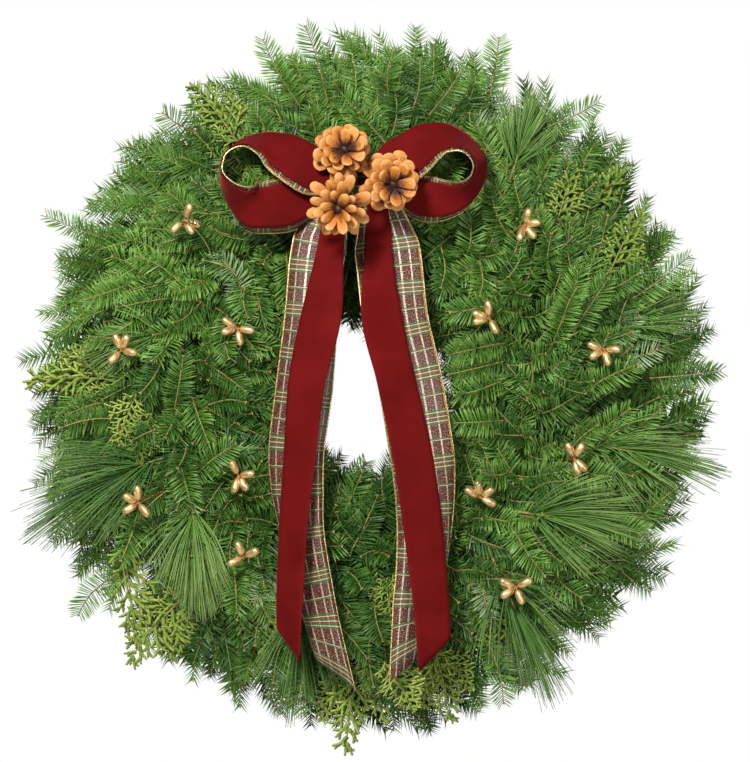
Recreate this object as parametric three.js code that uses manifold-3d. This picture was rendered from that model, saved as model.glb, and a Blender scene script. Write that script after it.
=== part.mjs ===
// A fresh evergreen wreath on a wire ring, with pine tufts, cedar fronds, gilded berry picks, three pine cones
// and a bow of velvet ribbon over sheer plaid ribbon. It hangs by the top of its ring, and faces -Y.
// Millimetres, +Z up. The origin is where a hook or nail carries the ring: the inner side of its top.
import * as THREE from "three";
import { mergeVertices } from "three/addons/utils/BufferGeometryUtils.js";
import Module from "manifold-3d";

const wasm = await Module();
wasm.setup();
const { Manifold, Mesh } = wasm;

// Ring, binding wire and the bound stems of each bunch
const RING_RADIUS = 152; // a 12 inch wreath ring, to the middle of its wire
const RING_WIRE = 2;
const RING_STEPS = 32;
const GAP = 0.3; // what touches at rest stays this far apart
const BUNCHES = 12;
const BUNCH_STEP = 360 / BUNCHES;
const CORE_RADIUS = 12; // the stems of one bunch, bound into a six-sided bundle
const CORE_DEPTH = -(RING_WIRE + CORE_RADIUS) * Math.cos(Math.PI / 6) - GAP;
const CORE_CLEAR = 0.52; // degrees from the end of a bundle to the middle of the joint with the next
const SEAT_DEPTH = CORE_DEPTH - CORE_RADIUS * Math.cos(Math.PI / 6) - 0.5; // stems of the trim end here
const BINDING_WIRE = 0.6;

// Fir twigs
const TIP_RADIUS = 294; // where the outer twigs end, round the rim
const HOLE_RADIUS = 84; // and the inner ones, round the hole
const FIR_STEP = 11.6; // from one pair of needles to the next
const FIR_NEEDLE = 19;
const FIR_LEAN = THREE.MathUtils.degToRad(55); // between a needle and its twig
const FIR_RIB = 1.5;
const BARE_STEP = 22; // between the bends of a stem that carries nothing
const EDGE_ROOM = 0.8; // between a needle's tip and the next bunch
const SWEEP_OUT = 26; // degrees that the twigs sweep round the ring by the time they reach its rim
const SWEEP_IN = 20; // and by the time they reach the hole

// Pine tufts and cedar fronds
const PINE_RIB = 2.3;
const PINE_SPLAY = [40, 8]; // degrees between needle and stem, at a tuft's base and at its tip
const PINE_FRONT = 0.25; // how far a tuft stands out of its own plane
const TRIM_STEM = 1.4;
const CEDAR_THICK = 0.9;
const CEDAR_ARCH = 4; // how far a frond droops at its tip and at its sides
const CEDAR_STEP = 13.5;
const CEDAR_LEAN = THREE.MathUtils.degToRad(44);

// Berry picks: wire stems with four pips each
const PICK_WIRE = 0.9;
const PIP_LENGTH = 15;
const PIP_RADIUS = 4.2;

const CONE_SCALES = 9; // in each ring of a pine cone
const CONE_STATIONS = [-0.86, -0.55, -0.2, 0.15, 0.45, 0.72, 0.9]; // along its axis, as shares of its radius

// Ribbon
const VELVET_WIDTH = 36.5; // number 9 ribbon
const PLAID_WIDTH = 57; // two and a quarter inch ribbon
const PLAID_PROUD = 2.5; // how far the plaid of a loop stands out before the velvet's front edge
const RIBBON_THICK = 0.9;

const { degToRad } = THREE.MathUtils;
const FRONT = new THREE.Vector3(0, -1, 0);
const OUTWARD = new THREE.Vector3(1, 0, 0);

const MATERIALS = {
  steel: new THREE.MeshStandardMaterial({ color: 0x6f7468, roughness: 0.4, metalness: 0.9 }),
  binding: new THREE.MeshStandardMaterial({ color: 0x2f4a2c, roughness: 0.5, metalness: 0.6 }),
  fir: new THREE.MeshStandardMaterial({ color: 0x2f6b2e, roughness: 0.6, metalness: 0 }),
  pine: new THREE.MeshStandardMaterial({ color: 0x5a8f3c, roughness: 0.55, metalness: 0 }),
  cedar: new THREE.MeshStandardMaterial({ color: 0x86a83e, roughness: 0.6, metalness: 0 }),
  gilt: new THREE.MeshStandardMaterial({ color: 0xc9a25e, roughness: 0.35, metalness: 0.6 }),
  cone: new THREE.MeshStandardMaterial({ color: 0xb9783a, roughness: 0.7, metalness: 0 }),
  velvet: new THREE.MeshStandardMaterial({ color: 0x8c1020, roughness: 0.9, metalness: 0 }),
  plaid: new THREE.MeshStandardMaterial({ color: 0x6a3a34, roughness: 0.45, metalness: 0.2 }),
};

// The whole wreath is laid out round the ring's middle, and hangs below the origin.
const wreath = new THREE.Group();
wreath.position.z = -(RING_RADIUS - RING_WIRE);

// A repeatable draw, from 0 up to 1.
function draw(n) {
  const wave = Math.sin(n * 12.9898 + 4.1414) * 43758.5453;
  return wave - Math.floor(wave);
}

// A point round the ring: its radius, its clock angle in degrees from +X towards +Z, and its depth along Y.
function polar(radius, clock, depth) {
  const turn = degToRad(clock);
  return new THREE.Vector3(radius * Math.cos(turn), depth, radius * Math.sin(turn));
}

function solidOf(spots, triangles) {
  const vertProperties = Float32Array.from(spots.flatMap((spot) => [spot.x, spot.y, spot.z]));
  return new Manifold(new Mesh({ numProp: 3, vertProperties, triVerts: Uint32Array.from(triangles.flat()) }));
}

// A closed body along a line of points, with a ring of corners round each, or a single point where its radius
// is 0. Its first face looks along `face` at the far end, and the rings before it turn as little as they can.
// `grow` may raise any face to a point or to an edge of two points: a twig's needles, a cone's scales.
function body({ line, radii, sides, face, grow = () => [] }) {
  const spots = [];
  const triangles = [];
  const rings = [];
  const last = line.length - 1;
  let side;
  for (let i = last; i >= 0; i -= 1) {
    const along = line[Math.min(i + 1, last)].clone().sub(line[Math.max(i - 1, 0)]).normalize();
    if (!side) side = face.clone().cross(along);
    side = side.clone().addScaledVector(along, -side.dot(along)).normalize();
    const out = along.clone().cross(side);
    const corners = [];
    for (let k = 0; k < sides; k += 1) {
      const turn = Math.PI / 2 + ((k - 0.5) * 2 * Math.PI) / sides;
      const corner = line[i].clone().addScaledVector(side, radii[i] * Math.cos(turn));
      corner.addScaledVector(out, radii[i] * Math.sin(turn));
      corners.push(radii[i] === 0 && k > 0 ? corners[0] : spots.push(corner) - 1);
    }
    rings[i] = { along, side, out, corners };
  }
  for (let i = 0; i < last; i += 1) {
    const { along, out } = rings[i];
    for (let k = 0; k < sides; k += 1) {
      const next = (k + 1) % sides;
      const [near, far] = [rings[i].corners, rings[i + 1].corners];
      const quad = [near[k], near[next], far[next], far[k]];
      if (radii[i] === 0) {
        triangles.push([quad[0], quad[2], quad[3]]);
      } else if (radii[i + 1] === 0) {
        triangles.push([quad[0], quad[1], quad[2]]);
      } else {
        const turn = Math.PI / 2 + (k * 2 * Math.PI) / sides;
        const outward = rings[i].side.clone().multiplyScalar(Math.cos(turn)).addScaledVector(out, Math.sin(turn));
        const middle = quad.reduce((sum, id) => sum.add(spots[id]), new THREE.Vector3()).multiplyScalar(0.25);
        const ids = grow({ i, k, middle, outward, out, along }).map((spot) => spots.push(spot) - 1);
        triangles.push(...raised(quad, ids));
      }
    }
  }
  if (radii[0] > 0) triangles.push(...capped(rings[0].corners.toReversed()));
  if (radii[last] > 0) triangles.push(...capped(rings[last].corners));
  return solidOf(spots, triangles);
}

// The triangles over one four-cornered face: flat, drawn up to a point, or drawn up to an edge.
function raised([a, b, c, d], tip) {
  if (tip.length === 0) return [[a, b, c], [a, c, d]];
  if (tip.length === 1) return [[a, b, tip[0]], [b, c, tip[0]], [c, d, tip[0]], [d, a, tip[0]]];
  const [left, right] = tip;
  return [[a, b, right], [a, right, left], [b, c, right], [c, d, left], [c, left, right], [d, a, left]];
}

function capped(corners) {
  return corners.slice(2).map((corner, n) => [corners[0], corners[n + 1], corner]);
}

// Fused solids, with any crumb that the joining leaves loose dropped.
function fused(solids) {
  const joined = solids.reduce((sum, solid) => sum.add(solid));
  return joined.decompose().reduce((best, solid) => (solid.volume() > best.volume() ? solid : best));
}

// One node of the wreath: a named mesh, turned to its clock angle round the ring.
function place(name, solid, material, clock = 0) {
  const { vertProperties, triVerts, numProp, numVert } = solid.getMesh();
  const positions = new Float32Array(numVert * 3);
  for (let i = 0; i < numVert; i += 1) {
    positions.set(vertProperties.subarray(i * numProp, i * numProp + 3), i * 3);
  }
  const geometry = new THREE.BufferGeometry();
  geometry.setAttribute("position", new THREE.BufferAttribute(positions, 3));
  geometry.setIndex(new THREE.BufferAttribute(Uint32Array.from(triVerts), 1));
  geometry.computeVertexNormals();
  addMesh(name, geometry, material).rotation.y = -degToRad(clock);
}

function addMesh(name, geometry, material) {
  const mesh = new THREE.Mesh(geometry, material.clone());
  mesh.name = name;
  wreath.add(mesh);
  return mesh;
}

// A smooth line through a few spots, as points along it: a few up to the end of its bare part, then one each
// step. `first` is the point where the bare part ends.
function stemLine(route, bare, step) {
  const curve = new THREE.CatmullRomCurve3(route, false, "centripetal");
  const length = curve.getLength();
  const first = Math.ceil(bare / BARE_STEP);
  const steps = Math.max(1, Math.round((length - bare) / step));
  const distances = [];
  for (let i = 0; i < first; i += 1) distances.push((bare * i) / first);
  for (let i = 0; i <= steps; i += 1) distances.push(bare + ((length - bare) * i) / steps);
  const line = distances.map((distance) => curve.getPointAt(Math.min(distance / length, 1)));
  return { line, first };
}

// Ring and binding wire

function addRing() {
  const ring = new THREE.TorusGeometry(RING_RADIUS, RING_WIRE, 6, RING_STEPS);
  addMesh("wire_ring", ring, MATERIALS.steel).rotation.x = Math.PI / 2;
}

// The wire makes one turn round the ring and the stems where two bunches meet, then runs on behind the ring.
function bindingWire() {
  const back = RING_WIRE + GAP + 2 * BINDING_WIRE;
  const wide = CORE_RADIUS + 2.2;
  const turn = [
    [4, back],
    [wide, CORE_DEPTH + 2],
    [wide * 0.5, CORE_DEPTH - wide * 0.87],
    [-wide * 0.5, CORE_DEPTH - wide * 0.87],
    [-wide, CORE_DEPTH + 2],
    [-4, back],
  ];
  const line = [];
  for (let bunch = 0; bunch < BUNCHES; bunch += 1) {
    const joint = (bunch + 0.5) * BUNCH_STEP;
    if (bunch > 0) line.push(polar(RING_RADIUS, joint - BUNCH_STEP / 2, back));
    turn.forEach(([out, depth], n) => line.push(polar(RING_RADIUS + out, joint - 3 + (6 * n) / 5, depth)));
  }
  return body({ line, radii: line.map(() => BINDING_WIRE), sides: 3, face: FRONT });
}

// Fir bunches

// Twigs of one bunch, as [radius, clock angle from the middle of the bunch, depth] from root to tip.
const FIR_TWIGS = [
  { bare: 18, route: [[152, -7, -12], [190, -9.5, -19], [TIP_RADIUS, -11.2, -22]] },
  { bare: 18, route: [[152, 2.5, -12], [190, 3.2, -19], [TIP_RADIUS, 3.8, -22]] },
  { bare: 24, route: [[154, 7, -9], [182, 9, 4], [240, 10.5, 12], [TIP_RADIUS - 4, 11.2, 14]] },
  { bare: 26, route: [[152, 0, -16], [166, 0, -38], [205, 0, -49], [240, 0, -46]] },
  { bare: 14, route: [[148, -7, -14], [112, -7.5, -22], [82, -7.5, -16]] },
  { bare: 22, route: [[150, 7, -16], [136, 7, -38], [108, 7.5, -48], [86, 7.5, -44]] },
];

function firBunch(bunch) {
  const line = [];
  const half = BUNCH_STEP / 2 - CORE_CLEAR;
  for (let step = -1.5; step <= 1.5; step += 1) line.push(polar(RING_RADIUS, (step * half) / 1.5, CORE_DEPTH));
  const core = body({ line, radii: line.map(() => CORE_RADIUS), sides: 6, face: FRONT });
  const twigs = FIR_TWIGS.map((twig, n) => firTwig(twig, bunch * FIR_TWIGS.length + n));
  return fused([core, ...twigs]);
}

// The bunches are laid one way round the ring: how far their twigs have swept round, in degrees, at a radius.
function sweep(radius) {
  const { clamp, inverseLerp } = THREE.MathUtils;
  const out = clamp(inverseLerp(RING_RADIUS + CORE_RADIUS, TIP_RADIUS, radius), 0, 1);
  const inward = clamp(inverseLerp(RING_RADIUS - CORE_RADIUS, HOLE_RADIUS, radius), 0, 1);
  return SWEEP_OUT * out * (1.4 - 0.4 * out) + SWEEP_IN * inward;
}

// One flat twig: needles in two ranks, cut short only where they would reach into the next bunch.
function firTwig({ route, bare }, seed) {
  const [tipRadius, tipClock, tipDepth] = route.at(-1);
  const grown = tipRadius + (draw(seed) - 0.5) * 16;
  const spots = [...route.slice(0, -1), [grown, tipClock, tipDepth + (draw(seed + 0.5) - 0.5) * 6]];
  const swept = spots.map(([radius, clock, depth]) => polar(radius, clock + sweep(radius), depth));
  const { line, first } = stemLine(swept, bare, FIR_STEP);
  const radii = line.map((_, i) => FIR_RIB * (1 - (0.35 * i) / line.length));
  const tip = line.at(-1).clone().sub(line.at(-2)).setLength(FIR_NEEDLE * 0.7).add(line.at(-1));
  const needle = ({ i, k, middle, outward, out, along }) => {
    if (i < first || k === 0) return [];
    const sideways = outward.clone().projectOnPlane(out).normalize();
    for (let length = FIR_NEEDLE * (0.92 + 0.16 * draw(seed + i + k)); length > 4; length *= 0.85) {
      const point = middle.clone().addScaledVector(sideways, length * Math.sin(FIR_LEAN));
      point.addScaledVector(along, length * Math.cos(FIR_LEAN));
      if (edgeRoom(point) > EDGE_ROOM) return [point];
    }
    return [];
  };
  return body({ line: [...line, tip], radii: [...radii, 0], sides: 3, face: FRONT, grow: needle });
}

// How far a point of a bunch lies from the nearer of the two swept walls that part it from the next bunches.
function edgeRoom(point) {
  const radius = Math.hypot(point.x, point.z);
  const turn = Math.abs(Math.atan2(point.z, point.x) - degToRad(sweep(radius)));
  return radius * Math.sin(degToRad(BUNCH_STEP / 2) - turn) * 0.75;
}

// Stems of the trim: from a seat on the bound stems, forward through the bunch, then out to the spray.

function trimRoute(seat, ...spots) {
  const forward = spots[0][2] + 6;
  const route = [[RING_RADIUS + 2, seat, SEAT_DEPTH], [RING_RADIUS + 3, seat, forward], ...spots];
  return route.map((spot) => polar(...spot));
}

// Pine tufts

// Each tuft: its clock angle, then the seat of its stem and the base and tip of its brush as polar spots from
// that clock angle, and the length of its needles.
const PINE_TUFTS = [
  { clock: 197, seat: 3, base: [190, 1, -66], tip: [244, 3, -64], needle: 82 },
  { clock: 214, seat: 2, base: [178, 0, -74], tip: [196, 8, -76], needle: 52 },
  { clock: 165, seat: 6, base: [180, 0, -66], tip: [206, 4, -68], needle: 50 },
  { clock: 252, seat: -4, base: [192, 0, -66], tip: [226, 2, -62], needle: 68 },
  { clock: 57, seat: -5, base: [222, 0, -66], tip: [252, 2, -62], needle: 50 },
  { clock: 347, seat: 6, base: [194, 0, -64], tip: [246, 0, -60], needle: 72 },
  { clock: 324, seat: -5, base: [168, -2, -74], tip: [196, 3, -76], needle: 78 },
  { clock: 305, seat: 3, base: [190, 0, -74], tip: [236, -2, -72], needle: 76 },
  { clock: 14, seat: -5, base: [206, 0, -60], tip: [244, 0, -56], needle: 56 },
];

function pineTuft({ seat, base, tip, needle }) {
  const route = trimRoute(seat, base, tip);
  const { line, first } = stemLine(route, new THREE.CatmullRomCurve3(route.slice(0, 3)).getLength(), 9);
  const end = line.at(-1).clone().sub(line.at(-2)).setLength(needle * 0.9).add(line.at(-1));
  const leaf = ({ i, k, middle, outward, out, along }) => {
    if (i < first) return [];
    const share = (i - first) / (line.length - 1 - first);
    const splay = degToRad(THREE.MathUtils.lerp(PINE_SPLAY[0], PINE_SPLAY[1], share));
    const length = needle * (0.9 + 0.2 * draw(seat * 7 + i * 5 + k));
    const rise = outward.dot(out);
    const flat = outward.clone().addScaledVector(out, -rise + Math.max(rise, 0) * PINE_FRONT);
    const point = middle.clone().addScaledVector(flat, length * Math.sin(splay));
    return [point.addScaledVector(along, length * Math.cos(splay))];
  };
  const radii = line.map((_, i) => (i < first ? TRIM_STEM : PINE_RIB));
  return body({ line: [...line, end], radii: [...radii, 0], sides: 5, face: FRONT, grow: leaf });
}

// Cedar fronds

const CEDAR_FRONDS = [
  { clock: 178, seat: -5, base: [200, 0, -61], tip: [290, 0, -54], wide: 34 },
  { clock: 228, seat: 4, base: [232, 0, -56], tip: [306, 0, -48], wide: 30 },
  { clock: 243, seat: 3, base: [176, 1, -63], tip: [240, 5, -62], wide: 28 },
  { clock: 268, seat: 6, base: [218, 0, -56], tip: [304, -2, -48], wide: 34 },
  { clock: 276, seat: 2, base: [158, 0, -60], tip: [196, -1, -72], wide: 22 },
  { clock: 284, seat: 5, base: [222, 0, -56], tip: [286, 0, -50], wide: 30 },
  { clock: 297, seat: -4, base: [182, 0, -63], tip: [246, 4, -62], wide: 30 },
  { clock: 38, seat: 0, base: [196, 0, -56], tip: [284, 3, -50], wide: 36 },
  { clock: 118, seat: -6, base: [232, 0, -60], tip: [302, 2, -52], wide: 32 },
];

// The flat outline of a frond, its rib along X: branchlets on both sides, each forked once and cut to the rib.
function frondShape(length, wide) {
  const count = Math.round(length / CEDAR_STEP);
  const lean = new THREE.Vector2(Math.cos(CEDAR_LEAN), Math.sin(CEDAR_LEAN));
  const back = new THREE.Vector2(-lean.y, lean.x);
  const edge = [];
  for (let i = 0; i < count; i += 1) {
    const foot = new THREE.Vector2((i * length) / count, 1.1);
    const long = wide * (1.05 - 0.75 * (i / count) ** 1.5) * (i === 0 ? 0.75 : 1);
    edge.push(foot);
    edge.push(foot.clone().addScaledVector(lean, long * 0.74).addScaledVector(back, 2.2));
    edge.push(foot.clone().addScaledVector(lean, long * 0.5).addScaledVector(back, -1));
    edge.push(foot.clone().addScaledVector(lean, long * 1.1).addScaledVector(back, -2.6));
  }
  const under = edge.map((spot) => new THREE.Vector2(spot.x, -spot.y)).reverse();
  return new THREE.Shape([...edge, new THREE.Vector2(length + wide * 0.3, 0), ...under]);
}

function cedarFrond({ seat, base, tip, wide }) {
  const route = trimRoute(seat, base, tip);
  const [start, end] = route.slice(-2);
  const length = start.distanceTo(end);
  const blade = new THREE.ExtrudeGeometry(frondShape(length, wide), { depth: CEDAR_THICK, bevelEnabled: false });
  const spots = blade.getAttribute("position");
  for (let i = 0; i < spots.count; i += 1) {
    const droop = CEDAR_ARCH * ((spots.getX(i) / length) ** 2 + (spots.getY(i) / wide) ** 2);
    spots.setZ(i, spots.getZ(i) - droop);
  }
  const along = end.clone().sub(start).normalize();
  const side = FRONT.clone().cross(along).normalize();
  blade.applyMatrix4(new THREE.Matrix4().makeBasis(along, side, along.clone().cross(side)).setPosition(start));
  const { line } = stemLine([...route.slice(0, 3), start.clone().addScaledVector(along, length * 0.3)], 0, 22);
  const radii = line.map((_, i) => (i === line.length - 1 ? 0 : TRIM_STEM));
  return fused([body({ line, radii, sides: 3, face: FRONT }), geometrySolid(blade)]);
}

// A three.js geometry as a solid.
function geometrySolid(geometry) {
  geometry.deleteAttribute("normal");
  geometry.deleteAttribute("uv");
  const merged = mergeVertices(geometry, 1e-4);
  const vertProperties = merged.getAttribute("position").array;
  return new Manifold(new Mesh({ numProp: 3, vertProperties, triVerts: Uint32Array.from(merged.index.array) }));
}

// Berry picks

const BERRY_PICKS = [
  { clock: 137.5, seat: 4, spot: [211, 0, -84], roll: 80 },
  { clock: 155, seat: 2, spot: [123, 0, -70], roll: 10 },
  { clock: 171, seat: 4, spot: [211, 0, -84], roll: 190 },
  { clock: 206, seat: 0, spot: [215, 0, -98], roll: 250 },
  { clock: 213, seat: 0, spot: [132, 0, -74], roll: 30 },
  { clock: 233, seat: 3, spot: [175, 0, -90], roll: 120 },
  { clock: 47, seat: 3, spot: [189, 0, -84], roll: 200 },
  { clock: 31, seat: 3, spot: [117, 0, -68], roll: 60 },
  { clock: 10, seat: -5, spot: [199, 0, -84], roll: 140 },
  { clock: 341.5, seat: -4, spot: [180, 0, -84], roll: 300 },
  { clock: 315.5, seat: 4, spot: [129, 0, -72], roll: 20 },
  { clock: 306.5, seat: -2, spot: [205, 0, -94], roll: 220 },
];

function berryPick({ seat, spot, roll }) {
  const inward = spot[0] < RING_RADIUS;
  const rise = [RING_RADIUS + (inward ? -2 : 8), seat, spot[2] + 6];
  const route = [[RING_RADIUS + (inward ? -2 : 2), seat, SEAT_DEPTH], rise, spot].map((place) => polar(...place));
  const line = new THREE.CatmullRomCurve3(route, false, "centripetal").getSpacedPoints(3);
  const wire = body({ line, radii: line.map(() => PICK_WIRE), sides: 3, face: FRONT });
  const pips = [0, 75, 150, 235].map((turn) => pip(line.at(-1), roll + turn));
  return fused([wire, ...pips]);
}

function pip(root, turn) {
  const along = polar(1, turn, -0.35).normalize();
  const line = [-0.1, 0.25, 0.7, 1].map((share) => root.clone().addScaledVector(along, share * PIP_LENGTH));
  return body({ line, radii: [0, PIP_RADIUS, PIP_RADIUS, 0], sides: 4, face: FRONT });
}

// Pine cones

const CONES = [
  { name: "cone_top", spot: [-23, -127, 201.5], radius: 24, lean: [0.1, -1, 0.15], open: 0.5, pick: 190 },
  { name: "cone_right", spot: [17, -128, 174], radius: 24, lean: [0.15, -1, -0.1], open: 0.3, pick: 178 },
  { name: "cone_low", spot: [-27, -142, 154], radius: 26, lean: [-0.05, -1, -0.35], open: 0.9, pick: 166 },
];

// A cone seen from its blunt end: rings of scales round a slim core, each ring turned half a scale on the last.
function pineCone({ spot, radius, lean, open }) {
  const axis = new THREE.Vector3(...lean).normalize();
  const middle = new THREE.Vector3(...spot);
  const line = CONE_STATIONS.map((share) => middle.clone().addScaledVector(axis, share * radius));
  const radii = CONE_STATIONS.map((share) => 0.5 * radius * Math.sqrt(1.02 - share * share));
  radii[radii.length - 1] = 0;
  const scale = ({ i, k, middle: root, outward }) => {
    const reach = radius * Math.cos(Math.asin(CONE_STATIONS[i] * 0.9)) - radii[i];
    const tip = root.clone().addScaledVector(outward, reach * 0.86).addScaledVector(axis, reach * (0.25 + 0.3 * open));
    const across = axis.clone().cross(outward).multiplyScalar(reach * 0.3);
    return [tip.clone().add(across), tip.clone().sub(across)];
  };
  return body({ line, radii, sides: CONE_SCALES, face: new THREE.Vector3(0, 0, 1), grow: scale });
}

// Ribbons

// A strip between two edges, which are smooth lines through the given spots, [x, depth, z] from the ring's
// middle. `lines` are its own lengthwise lines, as distances across from the middle. It is as wide as they say
// except where the edges pinch it, may be set in behind another strip, and may have its ends cut at a slant.
function ribbon({ edges, lines, steps, setIn = 0, slant = 0 }) {
  const [left, right] = edges.map((edge) => {
    const curve = new THREE.CatmullRomCurve3(edge.map((spot) => new THREE.Vector3(...spot)), false, "centripetal");
    return Array.from({ length: steps + 1 }, (_, i) => curve.getPoint(i / steps));
  });
  const middles = left.map((spot, i) => spot.clone().lerp(right[i], 0.5));
  const spots = [];
  const triangles = [];
  const round = 2 * lines.length;
  middles.forEach((middle, i) => {
    const along = middles[Math.min(i + 1, steps)].clone().sub(middles[Math.max(i - 1, 0)]).normalize();
    const across = right[i].clone().sub(left[i]);
    const drawn = Math.min(across.length() / VELVET_WIDTH, 1);
    across.addScaledVector(along, -across.dot(along)).normalize();
    const through = across.clone().cross(along);
    const cut = i === 0 ? -slant : i === steps ? slant : 0;
    const corner = (out, face) => {
      const spot = middle.clone().addScaledVector(across, out * drawn).addScaledVector(through, face);
      return spot.addScaledVector(along, out * cut);
    };
    spots.push(...lines.map((out) => corner(out, setIn - RIBBON_THICK / 2)));
    spots.push(...lines.toReversed().map((out) => corner(out, setIn + RIBBON_THICK / 2)));
  });
  for (let i = 0; i < steps * round; i += 1) {
    const next = (i + 1) % round === 0 ? i + 1 - round : i + 1;
    if (i % round < lines.length) triangles.push([i, next + round, next], [i, i + round, next + round]);
    else triangles.push([i, i + round, next], [next, i + round, next + round]);
  }
  for (let i = 0; i < lines.length - 1; i += 1) {
    const far = steps * round;
    const opposite = round - 1 - i;
    triangles.push([i, i + 1, opposite - 1], [i, opposite - 1, opposite]);
    triangles.push([far + i, far + opposite - 1, far + i + 1], [far + i, far + opposite, far + opposite - 1]);
  }
  return solidOf(spots, triangles);
}

// The bow: each ribbon is one strip that makes both loops, and one that makes both tails, pinched at the knot.
const KNOT_X = -11;
const KNOT_HIGH = [161, 193.5]; // lower and upper leg of the wire round the knot
const KNOT_DEEP = [-86.2, -101.8]; // its back and front leg
const TIE_WIRE = 0.9;

// Both edges of the loops' strip, from under the knot round the left loop, over the knot and round the right one.
// The first edge stands towards the front.
const LOOP_FRONT = [
  [-13, -93.5, 182], [-38, -96, 179], [-70, -103, 172], [-90, -111, 169], [-109, -117, 168], [-122, -120, 178],
  [-126, -121, 190], [-119, -121, 202], [-104, -121, 209], [-90, -120, 206], [-78, -118, 196], [-66, -115, 179],
  [-46, -109, 166], [-26, -102, 168], [-11, -100, 172], [4, -100, 168], [24, -105, 172], [38, -111, 180],
  [47, -115, 191], [56, -118, 201], [68, -120, 204], [81, -121, 199], [88, -121, 188], [86, -119, 177],
  [78, -114, 171], [64, -107, 170], [44, -99, 174], [20, -95, 180], [-9, -93.5, 182],
];
const LOOP_BACK = [
  [-13, -93.5, 170], [-34, -94, 161], [-60, -95, 140], [-77, -95, 136], [-93, -96, 137], [-110, -92, 148],
  [-122, -88, 164], [-128, -86, 182], [-124, -86, 198], [-112, -88, 211], [-92, -94, 217], [-70, -101, 215],
  [-46, -104, 202], [-26, -101, 188], [-11, -100, 184], [4, -100, 190], [18, -101, 208], [30, -99, 217],
  [44, -96, 223], [66, -92, 223], [83, -88, 214], [93, -87, 203], [98, -86, 190], [96, -88, 175],
  [87, -91, 160], [74, -94, 149], [52, -95, 145], [20, -94, 160], [-9, -93.5, 170],
];

// Both edges of the tails' strip, from the tip of the left tail up over the knot and down the right tail.
const TAIL_LEFT = [
  [-78, -99, -212], [-78, -98, -178], [-76, -94, -116], [-72, -94, -54], [-68, -96, 8], [-58, -96, 60],
  [-46, -91, 110], [-40, -87, 140], [-32, -88.5, 168], [-11, -90.4, 185], [10, -88.5, 168], [17, -87, 140],
  [19, -92, 110], [27, -96, 60], [38, -97, 8], [52, -95, -54], [61, -95, -116], [66, -97, -178], [68, -99, -221],
];
const TAIL_RIGHT = [
  [-58, -122, -212], [-56, -121, -178], [-52, -117, -116], [-45, -112, -54], [-37, -110, 8], [-24, -104, 60],
  [-22, -92, 110], [-21, -87, 140], [-19, -88.5, 160], [-11, -90.4, 172], [-3, -88.5, 160], [-3, -87, 140],
  [-5, -94, 110], [-7, -104, 60], [6, -110, 8], [19, -108, -54], [28, -108, -116], [36, -112, -178],
  [40, -114, -221],
];
const PLAID_LEFT = [
  [-52, -92, -218], [-66, -90, -168], [-76, -88, -112], [-80, -88, -54], [-77, -89, -12], [-72, -89, 60],
  [-62, -87, 112], [-48, -85, 142], [-33, -86.5, 168], [-11, -88.9, 185], [12, -86.5, 168], [24, -85, 140],
  [36, -87, 104], [46, -89, 60], [59, -89, 8], [67, -89, -42], [73, -89, -94], [72, -89, -150], [64, -90, -222],
];
const PLAID_RIGHT = [
  [-20, -104, -240], [-34, -104, -168], [-43, -102, -112], [-41, -101, -54], [-34, -99, -12], [-20, -96, 60],
  [-20, -89, 112], [-20, -85, 142], [-18, -86.5, 158], [-11, -88.9, 172], [-4, -86.5, 158], [-4, -85, 138],
  [-6, -89, 104], [-6, -96, 60], [5, -99, 8], [14, -100, -42], [22, -101, -94], [27, -102, -150],
  [24, -104, -228],
];

// The tie: a wire loop round the pinched ribbons, its shank back to the bound stems, and a pick to each cone.
function bowWire() {
  const [low, high] = KNOT_HIGH;
  const [back, front] = KNOT_DEEP;
  const loop = [
    [KNOT_X + 1, SEAT_DEPTH, RING_RADIUS + 3], [KNOT_X, back + 14, low], [KNOT_X, back, low], [KNOT_X, front, low],
    [KNOT_X, front, high], [KNOT_X, back, high],
  ];
  const closing = [[KNOT_X, back, high + TIE_WIRE], [KNOT_X, back, low - TIE_WIRE]];
  const picks = CONES.map(({ spot, radius, lean, pick }) => {
    const axis = new THREE.Vector3(...lean).normalize();
    const foot = new THREE.Vector3(...spot).addScaledVector(axis, CONE_STATIONS[0] * radius - GAP);
    return [new THREE.Vector3(KNOT_X, front, pick), foot.clone().addScaledVector(axis, -3), foot];
  });
  const wires = [loop, closing].map((route) => route.map((spot) => new THREE.Vector3(...spot)));
  const tube = (line) => body({ line, radii: line.map(() => TIE_WIRE), sides: 4, face: OUTWARD });
  return fused([...wires, ...picks].map(tube));
}

addRing();
place("binding_wire", bindingWire(), MATERIALS.binding);
for (let bunch = 0; bunch < BUNCHES; bunch += 1) {
  place(`fir_bunch_${bunch + 1}`, firBunch(bunch), MATERIALS.fir, bunch * BUNCH_STEP);
}
PINE_TUFTS.forEach((tuft, n) => place(`pine_tuft_${n + 1}`, pineTuft(tuft), MATERIALS.pine, tuft.clock));
CEDAR_FRONDS.forEach((frond, n) => place(`cedar_frond_${n + 1}`, cedarFrond(frond), MATERIALS.cedar, frond.clock));
BERRY_PICKS.forEach((pick, n) => place(`berry_pick_${n + 1}`, berryPick(pick), MATERIALS.gilt, pick.clock));
CONES.forEach((cone) => place(cone.name, pineCone(cone), MATERIALS.cone));
const half = VELVET_WIDTH / 2;
const velvet = [-half, half];
const plaid = [-PLAID_WIDTH / 2, PLAID_WIDTH / 2];
const lining = [-half - PLAID_PROUD, half, PLAID_WIDTH - half - PLAID_PROUD];
const loops = { edges: [LOOP_FRONT, LOOP_BACK], steps: 48 };
const velvetTails = { edges: [TAIL_LEFT, TAIL_RIGHT], lines: velvet, steps: 28, slant: 0.7 };
const plaidTails = { edges: [PLAID_LEFT, PLAID_RIGHT], lines: plaid, steps: 28, slant: 0.7 };
place("velvet_loops", ribbon({ ...loops, lines: velvet }), MATERIALS.velvet);
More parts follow.
